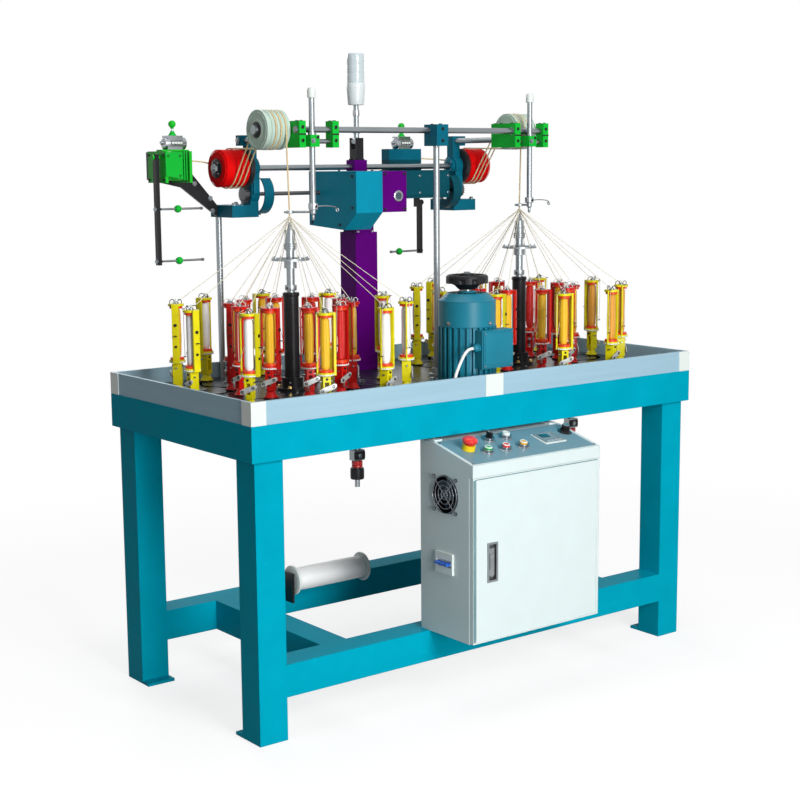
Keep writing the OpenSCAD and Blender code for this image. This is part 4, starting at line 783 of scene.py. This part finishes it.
motor.tube(cable_line[:3], [6.4, 5.8, 5.0], "motor_teal", sides=14)
motor.lathe([(4.2, 0), (9, 0), (9.5, 1), (8, 5), (4.2, 6)], "black_plastic", at(-122, -328, TOP), 18)
motor.make("motor_fittings", "frame", "teal_paint")

grip = Builder()
hub = at(0, MOTOR_Y, 1060)
grip.lathe([(22.2, 0.6), (24, 1), (33, 10), (44, 15.6), (44, 16.4), (22.2, 16.4)], "black_plastic", hub, 36)
grip.lathe([(12.1, 40), (20, 40), (19, 41.5), (12.1, 42)], "black_plastic", hub, 30)
grip.hex_bolt(9, 6, hub @ at(0, 0, 40))
grip.ring(48.6, 7.4, "black_plastic", hub @ at(0, 0, 31), 48, 12)
grip.make("handwheel_grip", "motor_rotor", "black_plastic")

# Take-off: head, castings, clamps and rods
take = Builder()
sight = at(12, 73, 1300) @ FRONT
take.lathe([(0, 1.0), (10, 1.0), (10, 3.4), (14, 3.6), (15.5, 2.6), (15.5, -0.3)], "bezel_chrome", sight, 30)
take.lathe([(0, 1.6), (9.6, 1.3)], "screen", sight, 24)
for x in (-34, 34):
    for z in (1264, 1361):
        take.socket_screw(4, 2.6, at(x, 73.2, z) @ FRONT)
    for y in (90, 160, 222, 290):
        take.socket_screw(4, 2.6, at(x, y, 1368.8))
for x in (-15, 15):
    for y in (238, 262):
        take.socket_screw(3.4, 3.4, at(x, y, 1399.8))
for spot in around(at(0, 245, 815), 4, 45):
    take.hex_bolt(7, 8, spot @ at(70, 0, 0))
for x, y in ((-25, 214), (25, 214), (-25, 276), (25, 276)):
    take.hex_bolt(4.5, 5, at(x, y, 1196))
for y, z in ((90, 1356), (90, 1270), (285, 1356), (285, 1226), (150, 1222)):
    take.socket_screw(4, 2.6, at(-131.8, y, z) @ TO_LEFT)
# Front plate of the right arm box, in a teal darkened as painted shade
take.plate([(-110, -33), (110, -33), (114, -29), (114, 29), (110, 33), (-110, 33), (-114, 29), (-114, -29)],
    4, "arm_box_shaded_teal", at(200, 216.3, 1328.5) @ FRONT, 1.2)
for x in (94, 200, 306):
    for z in (1304, 1353):
        take.socket_screw(3.6, 2.4, at(x, 212.4, z) @ FRONT, "bright_steel")
for sx in (-1, 1):
    inner = at(sx * 346, DRUM_Y, DRUM_Z) @ turn("Y", -90 * sx)
    take.lathe([(8.6, -0.3), (24, -0.3), (24, 4), (21, 6), (8.6, 6)], "casting_teal", inner, 30)
    for spot in around(inner, 4, 45):
        take.socket_screw(2.8, 2.6, spot @ at(17, 0, 5.6), "bright_steel")
    face = at(sx * 394, DRUM_Y, 1454) @ turn("Y", 90 * sx)
    take.lathe([(0, 2.2), (8, 2.2), (11, 0.6), (11, -0.5)], "casting_teal", face, 24)
    take.hex_bolt(6, 6, face @ at(0, 0, 1.6))
    take.hex_bolt(5, 6, at(sx * 360, 236, 1454) @ FRONT)
    for dx, y in ((354, 300), (354, 335), (420, 240)):
        take.hex_bolt(6, 7, at(sx * dx, y, 1281))
    take.block((20, 6, 40), "casting_teal", at(sx * 359, 221, 1330), 2)
    take.socket_screw(4, 3, at(sx * 331, 252, 1256) @ turn("X", 180))
for i in (0, 1):
    for x, ys in ((CLAMP_X[i], (-31, -12, 34, 60)), (CLAMP_END_X[i], (-31, -12))):
        for y in ys:
            take.socket_screw(4.6, 2.2, at(x, y, 1499.6))
        for z in (1450, 1484):
            take.socket_screw(4.6, 2.2, at(x, -37.8, z) @ FRONT)
        take.block((21.2, 2.2, 4), "black_metal", at(x, -37.6, 1466), 0.6)
    for x, s in ((CLAMP_X[i] - 10, -1), (CLAMP_END_X[i] + 10, 1)):
        take.hex_bolt(8.6, 5, at(x, -22, ROD_Z) @ turn("Y", 90 * s), "bright_steel", 1.2)
    take.hex_bolt(5, 6, at(GUIDE_X[i] - 6, -55.8, 1449) @ FRONT)
    take.socket_screw(4, 2.4, at(GUIDE_X[i] + 8, -55.8, 1458) @ FRONT)
    rod = at(GUIDE_X[i], GUIDE_Y, 0)
    take.lathe([(7.6, 1558), (10.8, 1558), (11.2, 1560), (11.2, 1579), (10, 1582), (7, 1583), (0, 1583)],
        "white_plastic", rod, 24)
    take.lathe([(7.6, 1274), (12, 1274), (12.6, 1276), (12.6, 1288), (12, 1290), (7.6, 1290)], "bezel_chrome",
        rod, 24)
    take.lathe([(0, 1246), (3, 1247), (4, 1249), (4, 1260), (6.5, 1262), (7, 1265.4)], "bright_steel", rod,
        16)
    take.socket_screw(3, 4, rod @ at(0, -12.2, 1282) @ FRONT)
    take.lathe([(7.6, 1464), (11, 1464), (11, 1470), (7.6, 1470)], "bright_steel", rod, 24)
    x = HEADS[i]
    take.lathe([(5.1, EYE_Z - 1), (8, EYE_Z - 1.6), (8.4, EYE_Z + 2), (8, EYE_Z + 6.6), (5.1, EYE_Z + 6)],
        "white_plastic", at(x, 0, 0), 24)
    take.tube(smooth_path([(GUIDE_X[i], GUIDE_Y - 12, 1282), (GUIDE_X[i] + 26, GUIDE_Y - 18, 1283),
        (GUIDE_X[i] + 60, GUIDE_Y - 14, 1279), (GUIDE_X[i] + 74, GUIDE_Y - 2, 1272)]), 1.5, "bright_steel",
        sides=8)
    take.ring(4.2, 1.4, "bright_steel", at(GUIDE_X[i] + 77, GUIDE_Y + 1, 1271) @ turn("X", 70), 18)
for z in (1450, 1482):
    take.socket_screw(4.6, 2.4, at(POST_X, -57.8, z) @ FRONT)
for y in (-48, -12):
    take.socket_screw(4.6, 2.4, at(POST_X, y, 1493.8))
take.lathe([(8.6, TOP + 0.2), (24, TOP + 0.2), (24, TOP + 5), (16, TOP + 7), (15, TOP + 20), (8.6, TOP + 21)],
    "bright_steel", at(POST_X, -30, 0), 28)
take.make("takeoff_fittings", "frame", "teal_paint")

# Drums, gears and guide wheels
drum = Builder()
for sx in (-1, 1):
    end = at(sx * 464.3, DRUM_Y, DRUM_Z) @ turn("Y", 90 * sx)
    drum.lathe([(8.2, -0.4), (26, -0.4), (26, 2.4), (22, 4), (8.2, 4)], "black_metal", end, 30)
    drum.lathe([(8.2, 3.6), (12.5, 3.6), (12.5, 9), (11, 10.5), (8.2, 10.5)], "bright_steel", end, 6)
    for spot in around(end, 4, 45):
        drum.socket_screw(2.8, 2.4, spot @ at(19, 0, 3.6), "bright_steel")
    for x in (391, 461):
        drum.ring(49.6, 0.9, "red_rubber", at(sx * x, DRUM_Y, DRUM_Z) @ TO_X, 48)
drum.make("drum_hubs", "drums", "black_metal")
for side, body in ((-1, "left_guide"), (1, "right_guide")):
    wheel = Builder()
    for x, s in ((WHEEL_IN, -side), (WHEEL_IN + WHEEL_L, side)):
        face = at(side * x, WHEEL_Y, ROD_Z) @ turn("Y", 90 * s)
        wheel.lathe([(12.8, -0.3), (21, -0.3), (21, 2.2), (18, 3.4), (12.8, 3.4)], "black_plastic", face, 30)
        wheel.ring(44, 1.0, "nylon", face, 40)
        wheel.lathe([(21, -0.3), (27, -0.3), (26.4, 0.8), (21, 1.2)], "nylon", face, 32)
    wheel.make(body + "_hub", body, "white_plastic")

# Signal lamp
lamp = Builder()
pole = at(0, DRUM_Y, 0)
lamp.lathe([(7.6, 1554), (20.5, 1554), (22.2, 1555), (23, 1557), (24.4, 1576), (25.8, 1594), (26, 1600),
    (26, 1614), (25.4, 1615.4), (23.6, 1616)], "lamp_body", pole, 40)
lens = [(23.6, 1616)]
for z in range(1618, 1670, 24):
    lens += [(24.2, z), (24.4, z + 2), (24.4, z + 20), (24.2, z + 22)]
lamp.lathe(lens + [(24, 1695.4), (23, 1697.4), (21, 1698), (0, 1698)], "lamp_lens", pole, 40)
lamp.ring(25.6, 0.6, "lamp_body", pole @ at(0, 0, 1602), 40, 6)
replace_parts(lamp.make("lamp_head", "lamp", "white_plastic"), "signal_lamp")
joint = Builder()
joint.lathe([(7.6, 1474), (10, 1474), (10.5, 1476), (10.5, 1486), (10, 1488), (7.6, 1488)], "bezel_chrome",
    pole, 24)
joint.lathe([(7.6, 1522), (9.4, 1523), (9.8, 1528), (9.4, 1540), (7.6, 1541)], "bezel_chrome", pole, 24)
joint.make("lamp_pole_rings", "lamp", "bright_steel")

# Counters: a barrel cover with number wheels, a green cone on top and a front plate
count = Builder()
for x, y, z in ((-600, 244, 1430), (190, 286, 1431)):
    count.lathe([(0, -33), (11, -33), (15.5, -30), (17, -23), (17, 23), (15.5, 30), (11, 33), (0, 33)],
        "bezel_chrome", at(x + 4, y, z + 16) @ TO_X, 28)
    count.block((34, 2.4, 12), "black_plastic", at(x + 4, y - 16.6, z + 17), 1)
    for k in range(4):
        count.lathe([(0, -3.4), (4.6, -3.4), (4.8, -2.8), (4.8, 2.8), (4.6, 3.4), (0, 3.4)], "white_plastic",
            at(x - 8 + 8 * k, y - 14.6, z + 17) @ TO_X, 18)
    count.lathe([(0, 7), (4, 7), (5.5, 5.5), (5.5, 1), (4, -0.5)], "bezel_chrome",
        at(x - 29, y, z + 18) @ TO_LEFT, 14)
    count.lathe([(3.1, 33), (12, 33), (12.6, 35), (7, 43), (4.6, 48), (3.1, 48)], "green_paint", at(x, y, z),
        24)
    count.lathe([(3.1, 54), (4.6, 55), (4.6, 57.4), (3.1, 58)], "green_paint", at(x, y, z), 16)
count.plate([(-27, -26), (18, -34), (24, -34), (24, 36), (-27, 36)], 3, "green_paint",
    at(-613, 214.5, 1388) @ FRONT, 1)
for x in (-582, -575):
    count.tube([(x, 217, 1351), (x, 217, 1428)], 2.2, "green_paint", sides=10)
for x, z in ((-632, 1414), (-598, 1414), (-598, 1362)):
    count.socket_screw(3.4, 2.4, at(x, 213, z) @ FRONT)
for x in (-640.2, -559.8):
    s = -1 if x < -600 else 1
    for y, z in ((222, 1352), (222, 1416), (300, 1352), (300, 1416)):
        count.socket_screw(3.4, 2.4, at(x, y, z) @ turn("Y", 90 * s))
for x, z in ((-612, 1400), (-560, 1398), (-500, 1340), (-446, 1266), (-452, 1300)):
    count.hex_bolt(5, 5, at(x, 307.8, z) @ FRONT)
count.make("counter_bodies", "frame", "bright_steel")

# Stop arms: balls and end caps
for body, x, y, zs in (("left_stop_arm", -651, 244, (1276, 1140)), ("right_stop_arm", 228, 250, (1133,))):
    arm = Builder()
    reach, mid = (-519, -590) if x < 0 else (121, 151)
    for z in zs:
        arm.lathe([(10.2 * math.sin(math.pi * i / 14),
            -10.2 * math.cos(math.pi * i / 14)) for i in range(15)], "green_paint", at(mid, y, z) @ TO_X, 24)
        arm.lathe([(0, 5), (2.6, 4.4), (4, 3), (4, -3)], "bright_steel",
            at(reach, y, z) @ turn("Y", 90 if x < 0 else -90), 14)
        arm.hex_bolt(5, 5, at(x - 5, y, z) @ TO_LEFT if x < 0 else at(x + 5, y, z) @ TO_X)
    arm.make(body + "_balls", body, "green_paint")


# Cabinet: panel, door, hinges and side fittings
def panel(x, y, lift=0.0):
    z = PANEL_Z + (y - PANEL_Y) * PANEL_RISE / PANEL_RUN
    return at(x, y, z) @ turn("X", math.degrees(PANEL_TILT)) @ at(0, 0, lift)


box = Builder()
for x, y in (SELECTOR, *BUTTONS.values()):
    box.lathe([(15.2, 0), (18.4, 0), (18.4, 1.2), (16, 2.4), (15.2, 2.4)], "bezel_chrome", panel(x, y), 30)
box.lathe([(15.2, 0), (19, 0), (19.4, 0.8), (18.6, 1.8), (15.2, 2)], "black_plastic", panel(*KNOB), 30)
box.block((32, 24, 1.2), "screen", panel(114, -413, 3.7), 0.4)
for k in range(4):
    box.block((9, 5, 1.6), "lever_grey", panel(102 + 13 * k, -447.5, 4.6), 0.8)
box.block((74, 64, 2.4), "white_plastic", panel(122, -425, 1), 0.8)
for x in (-200, 220):
    for y in (-496, -366):
        box.socket_screw(3.2, 2, panel(x, y), "bright_steel")
for z in (262, 548):
    box.lathe([(0, -22), (4.4, -22), (5, -21), (5, -8), (4.6, -7.4), (5, -7), (5, 7), (4.6, 7.4), (5, 8),
        (5, 21), (4.4, 22), (0, 22)], "bezel_chrome", at(232, -496, z), 18)
    box.block((2.4, 14, 40), "bezel_chrome", at(231, -486, z), 0.8)
box.block((424, 1.6, 2.4), "black_plastic", at(10, -499, 619.6), 0.5)
for x in (-190, 210):
    box.block((26, 40, 5), "cabinet_grey", at(x, -330, 691), 1.5)
    box.hex_bolt(5, 5, at(x, -330, 693))
for y in (-357, -443):
    for z in (518, 604):
        box.socket_screw(3.6, 2.4, at(-214.3, y, z) @ TO_LEFT, "bright_steel")
for k in range(7):
    box.block((1.4, 60, 2.4), "black_plastic", at(231, -400, 262 + 12 * k), 0.6)
box.make("cabinet_fittings", "frame", "bezel_chrome")

# Door trim and latch grip
gate = Builder()
gate.lathe([(0, 1.4), (2.4, 1.4), (3, 3), (6, 3.2), (6.8, 2.2), (6.8, -0.4)], "bezel_chrome",
    at(-146, -503.4, 364.5) @ FRONT, 20)
# Dark strips along the door's left and top edges stand for the shadowed door gap: painted shade
gate.block((9, 1.2, 416), "door_gap_shade", at(-203.5, -508.2, 405), 0.5)
gate.block((3, 1.4, 416), "cabinet_grey", at(220.5, -508.2, 405), 0.6)
gate.block((424, 1.2, 2.6), "door_gap_shade", at(10, -508.2, 614.2), 0.5)
gate.block((424, 1.4, 3), "cabinet_grey", at(10, -508.2, 197), 0.6)
gate.make("door_trim", "door", "cabinet_grey")
handle = Builder()
handle.block((14, 3, 40), "latch_grey", at(-146, -507.2, 398), 1.2)
for k in range(5):
    handle.block((12, 1.4, 2), "bright_steel", at(-146, -508.9, 386 + 5 * k), 0.6)
handle.make("latch_grip", "latch", "black_plastic")

# Sensor coils under the table
sensor = Builder()
for x in SENSORS_X:
    sensor.lathe([(7.2, 576), (13, 576), (15, 578), (15, 582), (14, 583.5), (15, 585), (15, 592), (13, 594.5),
        (7.2, 594.5)], "sensor_red", at(x, -30, 0), 24)
    sensor.lathe([(16, 545), (18.6, 546), (19, 549), (19, 569), (18.6, 572), (16, 573)], "black_plastic",
        at(x, -30, 0), 20)
    sensor.block((35.4, 3, 20), "black_plastic", at(x, -42.4, 610), 1)
    sensor.hex_bolt(5, 4, at(x, -44, 610) @ FRONT)
sensor.make("sensor_coils", "frame", "black_plastic")

# Caps of the buttons, the stop, the selector and the speed knob
for body, spot in BUTTONS.items():
    cap, material = Builder(), body + "_plastic"
    cap.lathe([(10.3, 12.6), (10.3, 13.4), (9.4, 14.6), (8.6, 14.8), (8.2, 14.4), (4, 14.1), (0, 14)],
        material, panel(*spot), 28)
    cap.lathe([(7.2, 14.1), (7.4, 15), (8.8, 15.2), (10.2, 14.2), (10.5, 13), (10.5, 12.4)], "white_plastic",
        panel(*spot), 28)
    cap.make(body + "_button_cap", body, material)
cap = Builder()
cap.lathe([(15.8, 32.2), (14, 33.6), (9, 35), (4, 35.4), (0, 35.5)], "red_plastic", panel(*STOP), 36)
cap.ring(12, 0.5, "red_plastic", panel(*STOP, 34), 36, 6)
cap.make("stop_dome", "stop", "red_plastic")
cap = Builder()
cap.block((8.4, 19, 3), "black_plastic", panel(*SELECTOR, 20.2), 1.3)
cap.block((1.4, 8, 0.8), "white_plastic", panel(*SELECTOR) @ at(0, 5, 21.8), 0.3, 1)
cap.make("selector_grip", "mode_switch", "black_plastic")
cap = Builder()
for spot in around(panel(*KNOB), 20, 9):
    cap.block((1.8, 1.6, 11), "black_plastic", spot @ at(10.1, 0, 14.2), 0.6, 1)
cap.lathe([(9.8, 20.9), (8.8, 22), (0, 22.2)], "bezel_chrome", panel(*KNOB), 28)
cap.block((1.2, 6, 0.5), "white_plastic", panel(*KNOB) @ at(0, 5.4, 22.3), 0.2, 1)
cap.make("speed_knob_grip", "speed", "black_plastic")


# Floor, light and background
floor_mesh = bpy.data.meshes.new("floor")
floor_mesh.from_pydata([(-30, -30, 0), (30, -30, 0), (30, 30, 0), (-30, 30, 0)], [], [[0, 1, 2, 3]])
floor_mesh.materials.append(M["floor"])
floor_piece = put("floor", floor_mesh)
floor_piece.location.z = -0.0005


def area_light(name, place, target, size, power):
    light = bpy.data.lights.new(name, "AREA")
    light.shape, light.size, light.energy = "DISK", size, power
    lamp = put(name, light)
    lamp.location = place
    lamp.rotation_euler = (Vector(target) - Vector(place)).to_track_quat("-Z", "Y").to_euler()


area_light("key", (-0.5, -4.3, 2.5), (0, 0, 0.9), 1.8, 142)
area_light("low", (-1.2, -4.9, 0.8), (-0.1, 0, 0.5), 1.4, 115)
area_light("fill", (-4.4, -1.2, 2.4), (0, 0, 0.9), 2.4, 10)
area_light("top", (-0.3, 0.0, 4.6), (0, 0, 1.0), 2.6, 45)
area_light("rear", (0.6, 4.2, 3.0), (0, 0, 1.0), 2.2, 70)

world = bpy.data.worlds.new("studio")
scene.world = world
world.use_nodes = True
wn, wl = world.node_tree.nodes, world.node_tree.links
wn.clear()
strength = spread_over(wn, wl, plain_rays(wn, wl), 0.12, 1.0)
sky = settings(wn.new("ShaderNodeBackground"), Color=(1, 1, 1, 1))
wl.new(strength, sky.inputs["Strength"])
wl.new(sky.outputs["Background"], wn.new("ShaderNodeOutputWorld").inputs["Surface"])
